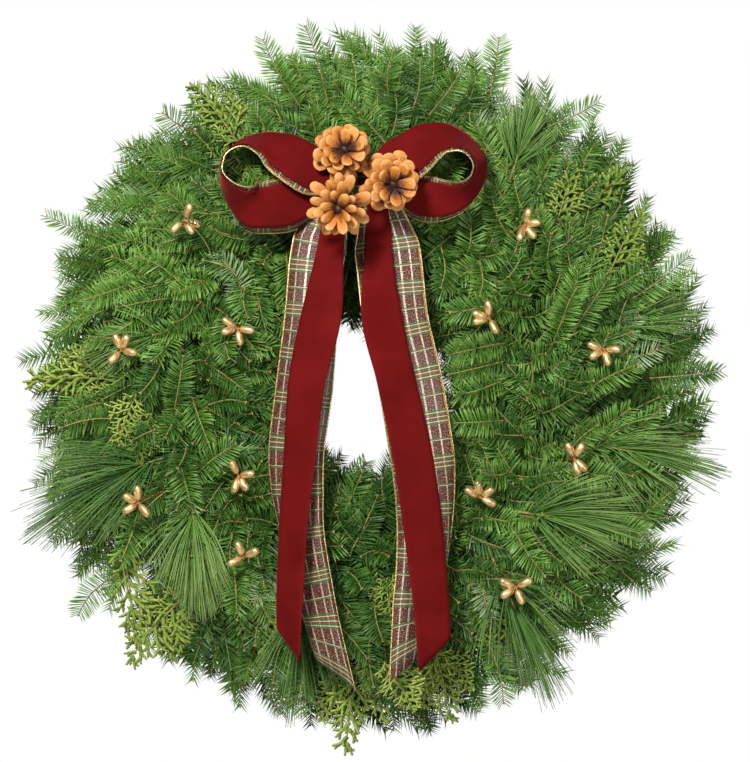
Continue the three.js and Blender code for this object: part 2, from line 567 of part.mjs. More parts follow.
place("plaid_loops", ribbon({ ...loops, lines: lining, setIn: RIBBON_THICK + 3 * GAP }), MATERIALS.plaid);
place("velvet_tails", ribbon(velvetTails), MATERIALS.velvet);
place("plaid_tails", ribbon(plaidTails), MATERIALS.plaid);
place("bow_wire", bowWire(), MATERIALS.binding);

export default wreath;
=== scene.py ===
# %% [markdown]
# # A fresh evergreen wreath, finished in Blender
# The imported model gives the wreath's frame: a wire ring, twelve bunches of fir bound to it, and the trim
# of pine, cedar, gilded berries, cones and ribbon. Here each plain solid gets a piece with real needles,
# scales or cloth, in the same place and of the same size. Lengths are in metres, and MM turns a maker's
# millimetres into them.

from math import atan2, cos, degrees, radians, sin

import bmesh
import bpy
import numpy as np
from mathutils import Matrix, Vector


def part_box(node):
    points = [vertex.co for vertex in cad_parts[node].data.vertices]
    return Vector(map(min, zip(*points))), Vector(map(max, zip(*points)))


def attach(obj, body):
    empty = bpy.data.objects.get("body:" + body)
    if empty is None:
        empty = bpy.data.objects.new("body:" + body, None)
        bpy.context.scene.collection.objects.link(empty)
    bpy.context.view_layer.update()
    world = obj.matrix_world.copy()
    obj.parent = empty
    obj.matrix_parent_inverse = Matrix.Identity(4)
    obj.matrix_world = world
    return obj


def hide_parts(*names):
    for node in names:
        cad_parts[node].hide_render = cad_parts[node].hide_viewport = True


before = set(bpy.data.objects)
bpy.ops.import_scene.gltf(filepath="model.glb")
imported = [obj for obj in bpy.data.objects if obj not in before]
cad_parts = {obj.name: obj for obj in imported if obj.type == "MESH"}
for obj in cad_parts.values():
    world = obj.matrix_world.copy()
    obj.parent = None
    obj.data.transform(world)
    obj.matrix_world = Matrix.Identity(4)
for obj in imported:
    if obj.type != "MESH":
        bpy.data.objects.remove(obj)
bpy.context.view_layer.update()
MM = 0.001
low, high = (Vector(corner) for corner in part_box("wire_ring"))
MIDDLE = (low + high) / 2
RING_WIRE = (high.y - low.y) / 2
RING_RADIUS = (high.x - low.x) / 2 - RING_WIRE
print("ring radius", round(RING_RADIUS / MM, 1), "mm, middle", [round(v / MM, 1) for v in MIDDLE])

# %% [markdown]
# ## Places round the ring
# A florist thinks of a wreath as a clock face, so places are given as a radius in millimetres, an angle
# from the right-hand side, and a depth, which is negative towards the viewer. Lines that pass smoothly
# through a few such places carry every twig, stem and ribbon. A seeded draw gives each of them its own
# small differences, and the same ones each time the script runs.

# %% Places and the seeded draw
rng = np.random.default_rng(24)
FRONT = np.array((0.0, -1.0, 0.0))


def polar(radius, clock, depth):
    """A place round the ring, from millimetres and degrees."""
    turn = radians(clock)
    return MIDDLE + Vector((radius * cos(turn), depth, radius * sin(turn))) * MM


def place_mm(x, depth, z):
    """A place from millimetres to the right of the middle, back from it and above it."""
    return MIDDLE + Vector((x, depth, z)) * MM


print("first draws", rng.random(3).round(3))


# %% Smooth lines
def smooth(spots, count, even=True):
    """`count` points on a smooth line through the spots, even along it or even between the spots."""
    spots = np.array([tuple(s) for s in spots], dtype=float)
    spots = np.vstack([2 * spots[0] - spots[1], spots, 2 * spots[-1] - spots[-2]])
    gaps = np.maximum(np.linalg.norm(np.diff(spots, axis=0), axis=1) ** 0.5, 1e-6)
    knots = np.concatenate([[0], np.cumsum(gaps)])
    spans = len(spots) - 3

    def at(shares):
        place = np.clip(shares * spans, 0, spans - 1e-9)
        i = place.astype(int)
        t0, t1, t2, t3 = (knots[i + k][:, None] for k in range(4))
        p0, p1, p2, p3 = (spots[i + k] for k in range(4))
        t = t1 + (place - i)[:, None] * (t2 - t1)
        a1 = (t1 - t) / (t1 - t0) * p0 + (t - t0) / (t1 - t0) * p1
        a2 = (t2 - t) / (t2 - t1) * p1 + (t - t1) / (t2 - t1) * p2
        a3 = (t3 - t) / (t3 - t2) * p2 + (t - t2) / (t3 - t2) * p3
        b1 = (t2 - t) / (t2 - t0) * a1 + (t - t0) / (t2 - t0) * a2
        b2 = (t3 - t) / (t3 - t1) * a2 + (t - t1) / (t3 - t1) * a3
        return (t2 - t) / (t2 - t1) * b1 + (t - t1) / (t2 - t1) * b2

    if not even:
        return at(np.linspace(0, 1, count))
    fine = at(np.linspace(0, 1, 12 * spans + 1))
    run = np.concatenate([[0], np.cumsum(np.linalg.norm(np.diff(fine, axis=0), axis=1))])
    steps = np.linspace(0, run[-1], count)
    return np.stack([np.interp(steps, run, fine[:, k]) for k in range(3)], axis=1)


def run_of(line):
    return float(np.linalg.norm(np.diff(line, axis=0), axis=1).sum())


corner = smooth([(0, 0, 0), (1, 0, 0), (1, 0, 1)], 9)
print("a line round a corner of two sides of 1 is", round(run_of(corner), 2), "long")

# %% [markdown]
# ## Growing a shape along a line
# A twig could be bent by a Curve modifier, but with hundreds of twigs that is slow and leaves live
# modifiers. The way here is the same idea in a few lines: a template lies along X, flat in XY, and each
# of its points is carried to the line, with Y across it and Z out towards the viewer. The bent copies are
# added to one bmesh, which becomes one finished piece. Each template keeps three numbers on its points
# for the materials to read: `reach` runs from a needle's root to its tip, `draw` is the needle's own, and
# `spray` is the twig's.

# %% Templates
NUMBERS = ("reach", "draw", "spray")


def numbered_bmesh():
    bm = bmesh.new()
    for number in NUMBERS:
        bm.verts.layers.float.new(number)
    return bm


def new_template(name, grow):
    """A mesh that `grow` builds along X in a bmesh. Its points carry the three numbers."""
    bm = numbered_bmesh()
    grow(bm)
    mesh = bpy.data.meshes.new(name)
    bm.to_mesh(mesh)
    bm.free()
    points = np.empty(len(mesh.vertices) * 3)
    mesh.vertices.foreach_get("co", points)
    points = points.reshape(-1, 3)
    return {"mesh": mesh, "points": points, "length": points[:, 0].max(), "sprays": np.empty(len(points))}


print("each point carries", NUMBERS)


# %% Copies bent along a line
def frames_along(line, up, roll=0.0):
    """Directions along, across and out of a line, which turn as little as they can from its end back."""
    along = np.gradient(line, axis=0)
    along /= np.linalg.norm(along, axis=1)[:, None]
    across = np.cross(up, along[-1])
    rows = []
    for tangent in along[::-1]:
        across = across - tangent * across.dot(tangent)
        across /= np.linalg.norm(across)
        rows.append(across)
    across = np.array(rows[::-1])
    out = np.cross(along, across)
    turn = np.deg2rad(np.broadcast_to(roll, len(line)))[:, None]
    return along, across * np.cos(turn) + out * np.sin(turn), out * np.cos(turn) - across * np.sin(turn)


def add_bent(bm, template, line, up=FRONT, roll=0.0, size=1.0, spray=None):
    """Adds a copy of the template, bent along a line of points from its root to its tip."""
    line = np.asarray(line, dtype=float)
    run = np.concatenate([[0], np.cumsum(np.linalg.norm(np.diff(line, axis=0), axis=1))])
    along, across, out = frames_along(line, up, roll)
    x = template["points"][:, 0] * run[-1] / template["length"]
    y, z = (template["points"][:, k, None] * size for k in (1, 2))

    def carried(rows):
        return np.stack([np.interp(x, run, rows[:, k]) for k in range(3)], axis=1)

    before = np.minimum(x, 0)[:, None]
    places = carried(line) + carried(across) * y + carried(out) * z + carried(along) * before
    mesh = template["mesh"]
    mesh.vertices.foreach_set("co", places.ravel())
    template["sprays"][:] = rng.random() if spray is None else spray
    mesh.attributes["spray"].data.foreach_set("value", template["sprays"])
    bm.from_mesh(mesh, face_normals=False, vertex_normals=False)


print("across the corner's two ends", frames_along(corner, FRONT)[1][[0, -1]].round(2).tolist())


# %% Finishing a piece
def finish_piece(bm, name, materials, nodes=(), flat=False):
    """Makes a bmesh a piece that rides on the wreath, in place of its CAD nodes."""
    mesh = bpy.data.meshes.new(name)
    bm.to_mesh(mesh)
    bm.free()
    for material in materials:
        mesh.materials.append(material)
    mesh.polygons.foreach_set("use_smooth", [not flat] * len(mesh.polygons))
    piece = bpy.data.objects.new(name, mesh)
    bpy.context.scene.collection.objects.link(piece)
    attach(piece, "root")
    if nodes:
        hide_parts(*nodes)
    count = sum(len(p.vertices) - 2 for p in mesh.polygons)
    print(f"{name}: {count} triangles")
    return piece


print("pieces ride on the body root")

# %% [markdown]
# ## Nodes, a line each
# Every finish is a small graph of nodes that feeds the Principled shader. These helpers add a node and
# give each of its sockets a value or a link, so that a graph reads as a few lines. Noise on Object
# coordinates has a real size: at a scale of 400 its spots are a few millimetres across. What more than
# one finish needs is a node group, built once and placed in each material with its own values.


# %% Nodes and sockets
def feed(node, sockets):
    """Gives each socket that is named a value, or a link from another node's output."""
    for socket, value in sockets.items():
        if isinstance(value, bpy.types.NodeSocket):
            node.id_data.links.new(value, node.inputs[socket])
        else:
            node.inputs[socket].default_value = value


def add_node(tree, kind, sockets, output=0, **settings):
    node = tree.nodes.new("ShaderNode" + kind)
    for key, value in settings.items():
        setattr(node, key, value)
    feed(node, sockets)
    return node.outputs[output]


def noise(tree, scale, detail=2, where=None):
    if where is None:
        where = add_node(tree, "TexCoord", {}, "Object")
    return add_node(tree, "TexNoise", {"Vector": where, "Scale": scale, "Detail": detail}, "Fac")


def ramp(tree, factor, *steps):
    """Colours blended between steps, each a number and its colour."""
    blended = add_node(tree, "ValToRGB", {"Fac": factor}, "Color")
    elements = blended.node.color_ramp.elements
    for element, (place, colour) in zip(elements, (steps[0], steps[-1])):
        element.position, element.color = place, (*colour, 1)
    for place, colour in steps[1:-1]:
        elements.new(place).color = (*colour, 1)
    return blended


def bump(tree, height, strength, millimetres):
    sockets = {"Height": height, "Strength": strength, "Distance": millimetres * MM}
    return add_node(tree, "Bump", sockets, "Normal")


def calculate(tree, operation, a, b=0.0, c=0.0, clamp=False):
    return add_node(tree, "Math", {0: a, 1: b, 2: c}, operation=operation, use_clamp=clamp)


def mix(tree, factor, a, b):
    return add_node(tree, "Mix", {"Factor": factor, "A": a, "B": b}, "Result", data_type="RGBA")


def spread(tree, value, start, end, low=0.0, high=1.0):
    """Carries the numbers from start to end over to those from low to high."""
    sockets = {"Value": value, "From Min": start, "From Max": end, "To Min": low, "To Max": high}
    return add_node(tree, "MapRange", sockets, "Result")


print("node helpers ready")


# %% Node groups and materials
def new_group(name, taken, made):
    """An empty node group, and what it takes in. `taken` and `made` give each socket's name and type."""
    tree = bpy.data.node_groups.new(name, "ShaderNodeTree")
    for in_out, sockets in (("INPUT", taken), ("OUTPUT", made)):
        for socket, kind in sockets.items():
            tree.interface.new_socket(socket, in_out=in_out, socket_type="NodeSocket" + kind)
    return tree, tree.nodes.new("NodeGroupInput").outputs


def add_group(tree, group, values):
    """Places a node group, with its own values, and returns what it puts out."""
    return add_node(tree, "Group", values, node_tree=group).node.outputs


def new_material(name, sockets):
    """A material, its tree, and its shader with the values that are the same all over."""
    material = bpy.data.materials.new(name)
    material.use_nodes = True
    shader = material.node_tree.nodes["Principled BSDF"]
    feed(shader, sockets)
    return material, material.node_tree, shader


def flecks_group():
    """Flecks of a light colour on a dark one, blended where the noise is between From and To."""
    numbers = dict.fromkeys(("Scale", "Detail", "From", "To"), "Float")
    colours = dict.fromkeys(("Dark", "Light"), "Color")
    tree, given = new_group("flecks", {**numbers, **colours}, {"Color": "Color", "Height": "Float"})
    height = noise(tree, given["Scale"], given["Detail"])
    share = spread(tree, height, given["From"], given["To"])
    colour = mix(tree, share, given["Dark"], given["Light"])
    feed(tree.nodes.new("NodeGroupOutput"), {"Color": colour, "Height": height})
    return tree


FLECKS = flecks_group()


def add_flecks(tree, scale, detail, dark, light):
    """Flecks in a material. Each colour comes after the number that the noise has where it begins."""
    values = {"Scale": scale, "Detail": detail, "From": dark[0], "To": light[0]}
    return add_group(tree, FLECKS, {**values, "Dark": (*dark[1], 1), "Light": (*light[1], 1)})


def flecked_material(name, sockets, *flecks, raised=None):
    """A finish with flecks, which can be raised too, by a strength and a height in millimetres."""
    material, tree, shader = new_material(name, sockets)
    made = add_flecks(tree, *flecks)
    feed(shader, {"Base Color": made["Color"]})
    if raised:
        feed(shader, {"Normal": bump(tree, made["Height"], *raised)})
    return material


taken = [socket.name for socket in FLECKS.interface.items_tree if socket.in_out == "INPUT"]
print("the group of flecks takes", taken)

# %% [markdown]
# ## Camera, light and floor
# The wreath is seen square on, as it hangs, through a long lens from well back, so that the cones aren't
# drawn larger for being nearer. The key light is above on the left, and a weaker one fills from the
# right. The backdrop is white to the eye, but lights the wreath only faintly. The floor is pale and lies
# well below.

# %% Camera
VIEW_WIDTH, VIEW_SHAPE = 637.5 * MM, 762 / 750
VIEW_CENTRE = polar(0, 0, 0) + Vector((4.2, -30, 7.6)) * MM
camera = bpy.data.objects.new("camera", bpy.data.cameras.new("camera"))
bpy.context.scene.collection.objects.link(camera)
camera.data.lens = 200
camera.data.sensor_width = 36
distance = VIEW_WIDTH * VIEW_SHAPE * camera.data.lens / camera.data.sensor_width
camera.location = VIEW_CENTRE + Vector((0, -distance, 0))
camera.rotation_euler = (radians(90), 0, 0)
bpy.context.scene.camera = camera
bpy.context.scene.view_settings.view_transform = "Standard"
print("camera", round(distance, 2), "m in front")


# %% Lights
def add_light(name, spot, size, power):
    light = bpy.data.lights.new(name, "AREA")
    light.shape = "DISK"
    light.size = size
    light.energy = power
    lamp = bpy.data.objects.new(name, light)
    lamp.location = spot
    lamp.rotation_euler = (VIEW_CENTRE - Vector(spot)).to_track_quat("-Z", "Y").to_euler()
    bpy.context.scene.collection.objects.link(lamp)
    print(name, "light,", power, "watts")


add_light("key", (-0.55, -1.8, 0.8), 0.4, 55)
add_light("fill", (1.0, -2.0, -0.2), 1.0, 14)
add_light("rim", (0.3, 1.3, 0.9), 1.0, 10)

world = bpy.data.worlds.new("studio")
bpy.context.scene.world = world
world.use_nodes = True
studio = world.node_tree
white = {"Color": (1, 1, 1, 1)}
faint = add_node(studio, "Background", {**white, "Strength": 0.12})
bright = add_node(studio, "Background", {**white, "Strength": 1.0})
seen = add_node(studio, "LightPath", {}, "Is Camera Ray")
backdrop = add_node(studio, "MixShader", {0: seen, 1: faint, 2: bright})
feed(studio.nodes["World Output"], {"Surface": backdrop})

# %% Floor
FLOOR_RADIUS, FLOOR_HEIGHT = 2.2, -1.3
floor = bmesh.new()
bmesh.ops.create_circle(floor, cap_ends=True, segments=64, radius=FLOOR_RADIUS)
bmesh.ops.translate(floor, verts=floor.verts, vec=(0, 0, FLOOR_HEIGHT))
floor_mesh = bpy.data.meshes.new("floor")
floor.to_mesh(floor_mesh)
floor.free()
ground = bpy.data.objects.new("floor", floor_mesh)
bpy.context.scene.collection.objects.link(ground)
paint, tree, shader = new_material("floor paint", {})
mottled = noise(tree, 6, where=add_node(tree, "TexCoord", {}, "Generated"))
feed(shader, {"Base Color": ramp(tree, mottled, (0, (0.78, 0.78, 0.77)), (1, (0.84, 0.84, 0.83)))})
floor_mesh.materials.append(paint)
print("floor at", FLOOR_HEIGHT, "m")

# %% [markdown]
# ## Leaves
# Leaves of all kinds vary in the same way: no two needles or twigs have the same green, and the tip of a
# needle is lighter than its root: partly fresher growth, and partly painted light where the tips stand out
# of the shade between the needles. That is one node group, placed in each leaf material with its own three
# colours. A few twigs are seen from below and look pale all over, and they are given a `spray` above 1.

# %% Greens
PALE_LEAF = (0.27, 0.38, 0.18, 1)
# Deep, bright, tip and underside.
FIR_GREENS = (0.003, 0.04, 0.005), (0.08, 0.21, 0.018), (0.33, 0.54, 0.13), (0.13, 0.25, 0.09)
PINE_GREENS = (0.012, 0.1, 0.022), (0.14, 0.28, 0.045), (0.38, 0.54, 0.17), (0.16, 0.28, 0.08)
CEDAR_GREENS = (0.06, 0.14, 0.014), (0.24, 0.34, 0.045), (0.56, 0.62, 0.17), (0.2, 0.27, 0.06)


def own_numbers(tree):
    """The reach, draw and spray that each point carries."""
    return [add_node(tree, "Attribute", {}, "Fac", attribute_name=name) for name in NUMBERS]


def leaf_tone_group():
    greens = dict.fromkeys(("Deep", "Bright", "Tip"), "Color")
    tree, given = new_group("leaf tone", greens, {"Color": "Color"})
    reach, draw, spray = own_numbers(tree)
    share = calculate(tree, "MULTIPLY", calculate(tree, "MULTIPLY_ADD", draw, 0.4, spray), 0.72, clamp=True)
    body = mix(tree, share, given["Deep"], given["Bright"])
    # Lighter towards the tip, and more so on lighter twigs: partly fresh growth, partly painted light.
    lit = calculate(tree, "MULTIPLY", calculate(tree, "POWER", reach, 1.8, clamp=True), share)
    whole = mix(tree, lit, body, given["Tip"])
    pale = mix(tree, spread(tree, spray, 1.2, 1.4), whole, PALE_LEAF)
    feed(tree.nodes.new("NodeGroupOutput"), {"Color": pale})
    return tree


LEAF_TONE = leaf_tone_group()


def leaf_material(name, deep, bright, tip, under, roughness):
    """A leaf's green on its upper face, and its paler underside on faces turned to the wall."""
    material, tree, shader = new_material(name, {"Roughness": roughness, "Specular IOR Level": 0.2})
    greens = {"Deep": (*deep, 1), "Bright": (*bright, 1), "Tip": (*tip, 1)}
    tone = add_group(tree, LEAF_TONE, greens)["Color"]
    normal = add_node(tree, "NewGeometry", {}, "Normal")
    turned_away = spread(tree, add_node(tree, "SeparateXYZ", {0: normal}, "Y"), 0.1, 0.8, 0, 0.6)
    feed(shader, {"Base Color": mix(tree, turned_away, tone, (*under, 1))})
    return material


FIR_LEAF = leaf_material("fir needle", *FIR_GREENS, 0.4)
PINE_LEAF = leaf_material("pine needle", *PINE_GREENS, 0.4)
CEDAR_LEAF = leaf_material("cedar scale leaf", *CEDAR_GREENS, 0.55)
print("leaf materials share", LEAF_TONE.name, "with", LEAF_TONE.users, "users")

# %% [markdown]
# Young bark is a tan skin with darker flecks between the leaf scars, about a millimetre across. Buds are
# brown with lighter scales.

# %% Bark and buds
BARK = flecked_material(
    "young bark", {"Roughness": 0.7}, 700, 3,
    (0.35, (0.13, 0.115, 0.025)), (0.65, (0.36, 0.31, 0.09)), raised=(0.4, 0.3),
)
BUD_SCALES = flecked_material(
    "bud scales", {"Roughness": 0.5}, 400, 2, (0, (0.18, 0.12, 0.03)), (1, (0.42, 0.33, 0.1)),
)
print(BARK.name, "and", BUD_SCALES.name, "ready")

# %% [markdown]
# The ring, the binding and the bow's tie keep their CAD forms, and get the green lacquer of florist's
# wire, which is worn through to dull steel in small spots.

# %% Lacquered wire
BARE_STEEL = (0.34, 0.33, 0.31, 1)


def worn_lacquer_group():
    """Lacquer that is worn through to the steel where the noise is above a number."""
    made = {"Color": "Color", "Bare": "Float", "Height": "Float"}
    tree, given = new_group("worn lacquer", {"Lacquer": "Color", "Worn From": "Float"}, made)
    height = noise(tree, 240, 6)
    bare = spread(tree, height, given["Worn From"], calculate(tree, "ADD", given["Worn From"], 0.05))
    colour = mix(tree, bare, given["Lacquer"], BARE_STEEL)
    feed(tree.nodes.new("NodeGroupOutput"), {"Color": colour, "Bare": bare, "Height": height})
    return tree


WORN_LACQUER = worn_lacquer_group()


def wire_material(name, lacquer, worn_from):
    material, tree, shader = new_material(name, {"Roughness": 0.4})
    skin = add_group(tree, WORN_LACQUER, {"Lacquer": (*lacquer, 1), "Worn From": worn_from})
    relief = bump(tree, skin["Height"], 0.3, 0.1)
    feed(shader, {"Base Color": skin["Color"], "Metallic": skin["Bare"], "Normal": relief})
    return material


RING_LACQUER = wire_material("ring lacquer", (0.02, 0.06, 0.025), 0.66)
WIRE_LACQUER = wire_material("binding lacquer", (0.03, 0.1, 0.03), 0.72)
WIRES = {"wire_ring": RING_LACQUER, "binding_wire": WIRE_LACQUER, "bow_wire": WIRE_LACQUER}
for node, lacquer in WIRES.items():
    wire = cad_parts[node]
    wire.data.materials.clear()
    wire.data.materials.append(lacquer)
    print(node, "lacquered,", len(wire.data.polygons), "faces")

# %% [markdown]
# ## Fir twigs
# A fir needle is a flat blade, 15 to 20 mm long and under 2 mm wide, with a groove above and a pale
# underside. A three-sided cone, cut once and swollen at the cut, has that shape in nine triangles, and a
# twig has a hundred and more of them. They stand in two ranks like a comb, with some shorter ones over
# the top, lean towards the tip, and get shorter there, where a few resinous buds close the twig.


# %% A needle
def rising_edges(points):
    """Edges of an upright cone that run from its foot to its tip."""
    around = {edge for point in points for edge in point.link_edges}
    return [edge for edge in around if abs(edge.verts[0].co.z - edge.verts[1].co.z) > 1e-6]


def laid_down(bm, points, long):
    """Lays an upright shape along X, from the origin."""
    bmesh.ops.rotate(bm, verts=points, cent=(0, 0, 0), matrix=Matrix.Rotation(radians(90), 3, "Y"))
    bmesh.ops.translate(bm, verts=points, vec=(long / 2, 0, 0))


def needle_mesh(name, wide, thick, swollen=True):
    """A needle of length 1 along X: a three-sided cone, cut once and swollen there to make a blade."""

    def grow(bm):
        root = 0.3 if swollen else 0.6
        bmesh.ops.create_cone(bm, cap_ends=False, segments=3, radius1=root, radius2=0, depth=1)
        bmesh.ops.remove_doubles(bm, verts=bm.verts, dist=1e-6)
        if swollen:
            bmesh.ops.subdivide_edges(bm, edges=rising_edges(bm.verts), cuts=1)
            waist = [point for point in bm.verts if abs(point.co.z) < 0.1]
            bmesh.ops.scale(bm, verts=waist, vec=(3.3, 3.3, 1))
            bmesh.ops.translate(bm, verts=waist, vec=(0, 0, 0.2))
        laid_down(bm, bm.verts, 1)
        bmesh.ops.scale(bm, verts=bm.verts, vec=(1, wide, thick))
        reach = bm.verts.layers.float["reach"]
        for point in bm.verts:
            point[reach] = point.co.x

    return new_template(name, grow)["mesh"]


FIR_NEEDLE = needle_mesh("fir needle", 0.12, 0.05)
PLAIN_NEEDLE = needle_mesh("plain needle", 0.13, 0.05, swollen=False)
print("needles of", len(FIR_NEEDLE.polygons), "and", len(PLAIN_NEEDLE.polygons), "faces")


# %% A stem, a bud and copies of them
def add_copy(bm, mesh, matrix, draw, material=0):
    """Adds a copy of a small mesh, placed by a matrix, and gives it its own draw."""
    points, faces = len(bm.verts), len(bm.faces)
    bm.from_mesh(mesh, face_normals=False, vertex_normals=False)
    bm.verts.ensure_lookup_table()
    bm.faces.ensure_lookup_table()
    new = bm.verts[points:]
    layer = bm.verts.layers.float["draw"]
    for point in new:
        point[layer] = draw
    for face in bm.faces[faces:]:
        face.material_index = material
    bmesh.ops.transform(bm, matrix=matrix, verts=new)


def add_stem(bm, long, thick, thin, sides=5, steps=10, material=1):
    """A tapering stem along X, cut into steps so that it can bend."""
    made = bmesh.ops.create_cone(bm, cap_ends=True, segments=sides, radius1=thick, radius2=thin, depth=long)
    bmesh.ops.subdivide_edges(bm, edges=rising_edges(made["verts"]), cuts=steps, use_grid_fill=True)
    laid_down(bm, bm.verts, long)
    for face in bm.faces:
        face.material_index = material


def bud_mesh():
    def grow(bm):
        made = bmesh.ops.create_icosphere(bm, subdivisions=1, radius=1)["verts"]
        bmesh.ops.scale(bm, verts=made, vec=(1.5, 1, 1))

    return new_template("bud", grow)["mesh"]


BUD = bud_mesh()
print("a bud of", len(BUD.polygons), "faces")


# %% A fir twig
def turned(root, lean, lift, long, spin=0.0):
    """Places a needle: its root, its lean from the twig, its lift out of the flat, and its length."""
    place = Matrix.Translation(root) @ Matrix.Rotation(lean, 4, "Z") @ Matrix.Rotation(-lift, 4, "Y")
    return place @ Matrix.Rotation(spin, 4, "X") @ Matrix.Scale(long, 4)


def fir_twig(long, pitch, needle, kind, broad=1.0):
    """A twig with a needle on each side at every pitch, and wider ones where it lies deep in the wreath."""
    fine = kind is FIR_NEEDLE
    wider = Matrix.Diagonal((1, broad, broad, 1))

    def grow(bm):
        add_stem(bm, long, 0.75 * MM, 0.45 * MM, 4 if fine else 3, 8 if fine else 5)
        bmesh.ops.translate(bm, verts=bm.verts, vec=(0, 0, 0.45 * MM))
        count = int(long / pitch)
        for n in range(count):
            share = (n + 0.5) / count
            swell = min(1.0, 0.7 + share * 1.4) * (1 - 0.4 * max(0.0, share - 0.8) / 0.2)
            for side in (-1, 1):
                lean = radians(rng.normal(68 - 30 * share**3, 5)) * side
                lift = radians(rng.normal(8, 9))
                size = needle * swell * rng.uniform(0.88, 1.06)
                root = Vector((share * long + rng.uniform(-0.4, 0.4) * pitch, side * 0.5 * MM, 0))
                place = turned(root, lean, lift, size, rng.normal(0, 0.4)) @ wider
                add_copy(bm, kind, place, rng.random())
            if rng.random() < 0.14:
                lean = radians(rng.normal(0, 40))
                root = Vector((share * long, 0, 0.8 * MM))
                place = turned(root, lean, radians(rng.uniform(25, 50)), 0.75 * needle * swell)
                add_copy(bm, kind, place, rng.random())
        for turn in (-0.8, 0.0, 0.8) if fine else (0.0,):
            place = Matrix.Translation((long - 0.3 * MM, sin(turn) * 1.1 * MM, 0.6 * MM))
            add_copy(bm, BUD, place @ Matrix.Rotation(turn, 4, "Z") @ Matrix.Scale(0.7 * MM, 4), 0.5, 2)

    return new_template("fir twig", grow)


def twig_kinds(count, pitch, needle, kind):
    """Some different twigs of each length. The pitch and the needle are in metres."""
    return {long: [fir_twig(long * MM, pitch, needle, kind) for _ in range(count)] for long in SIZES}


SIZES = (45, 70, 95, 130)
FINE_TWIGS = twig_kinds(4, 2.1 * MM, 15 * MM, FIR_NEEDLE)
PLAIN_TWIGS = twig_kinds(3, 2.2 * MM, 15.5 * MM, PLAIN_NEEDLE)
DEEP_TWIGS = [fir_twig(110 * MM, 3.6 * MM, 20 * MM, PLAIN_NEEDLE, 2.2) for _ in range(2)]
print({long: [len(t["mesh"].polygons) for t in kinds] for long, kinds in FINE_TWIGS.items()})

# %% [markdown]
# ## Fir bunches
# A wreath maker lays each bunch over the stems of the last, all one way round, so that the twigs sweep
# round the ring as they go out. Each bunch here has the same ranks from back to front, with each twig
# drawn a little different. A rank is given by where its twigs start and end: radius, angle across the
# bunch, and depth.

# %% How the bunches are laid
BUNCHES = 12
BUNCH_STEP = 360 / BUNCHES
# Twigs sweep this many degrees on their way from the bound stems out to the tips, and in to the hole.
SWEEP_OUT, SWEEP_IN = 26, 24
# The radii in millimetres between which they sweep, outwards and inwards.
OUTER_STEMS, TIP_RADIUS = 164, 300
INNER_STEMS, HOLE_RADIUS = 140, 70
# The farthest that a twig reaches from the middle, and how much farther it may reach at the top.
REACH, REACH_ABOVE = 305, 13


def above(x, z):
    """How nearly a place lies straight above the middle, from 0 to 1."""
    return max(0.0, (z - MIDDLE.z) / np.hypot(x - MIDDLE.x, z - MIDDLE.z)) ** 4


# Where the fringe stands back a little: the angle round the ring, and how far in millimetres.
DIPS = [
    (31, 15), (126, 12), (147, 12), (163, 16), (187, 12), (229, 14), (264, 12), (288, 13), (318, 14),
    (349, 18),
]


def outer_limit(x, z):
    """The farthest that a twig may reach: more at the top, and less where the fringe stands back."""
    clock = degrees(atan2(z - MIDDLE.z, x - MIDDLE.x))
    dip = sum(depth * np.exp(-(((clock - at + 180) % 360 - 180) ** 2) / 40) for at, depth in DIPS)
    return REACH + REACH_ABOVE * above(x, z) - dip


def sweep(radius):
    """Degrees that a twig has swept round the ring at a radius."""
    out = min(max((radius - OUTER_STEMS) / (TIP_RADIUS - OUTER_STEMS), 0), 1)
    inward = min(max((INNER_STEMS - radius) / (INNER_STEMS - HOLE_RADIUS), 0), 1)
    return SWEEP_OUT * out * (1.4 - 0.4 * out) + SWEEP_IN * inward


print("sweep at the hole and at the tips", round(sweep(HOLE_RADIUS)), round(sweep(TIP_RADIUS)), "degrees")

# %% Ranks, and the twigs on top
# Each rank: its twigs, then their start, middle and end as (radius, depth), their side shoots and their kind.
RANKS = [
    (4, (156, 0), (200, 2), (254, 4), 0, "deep"),
    (4, (150, -20), (196, -30), (246, -30), 0, "deep"),
    (4, (140, -22), (168, -44), (206, -48), 0, "deep"),
    (7, (152, 0), (120, -4), (70, -4), 0, "deep"),
    (3, (150, -8), (176, -24), (204, -28), 0, "deep"),
    (4, (152, -12), (128, -32), (88, -32), 0, "deep"),
    (4, (186, 0), (236, 2), (284, 2), 0, "deep"),
    (3, (168, 2), (232, 8), (288, 7), 0, "plain"),
    (5, (160, -8), (228, -8), (298, -6), 2, "plain"),
    (4, (158, -18), (226, -26), (294, -24), 2, "plain"),
    (4, (152, -26), (212, -42), (272, -40), 2, "plain"),
    (5, (146, -30), (196, -54), (250, -56), 2, "fine"),
    (4, (138, -30), (172, -62), (224, -68), 2, "fine"),
    (3, (132, -28), (150, -58), (190, -70), 1, "fine"),
    (5, (146, -12), (112, -20), (59, -12), 1, "plain"),
    (5, (150, -26), (118, -42), (62, -30), 1, "fine"),
    (3, (152, -34), (132, -58), (92, -54), 1, "fine"),
    (2, (148, 2), (116, 4), (74, 0), 0, "plain"),
]

# Small sprays that show through the eyes of the bow's loops, for the bunches behind it. They have a bright
# tone: painted light in the shade of the loops.
BEHIND_LOOPS = {
    2: [((176, 70), (200, 72), (226, 66)), ((184, 80), (206, 75), (224, 78))],
    4: [
        ((186, 126), (206, 121), (232, 113)), ((194, 112), (214, 116), (232, 122)),
        ((190, 118), (210, 113), (228, 108)),
    ],
}

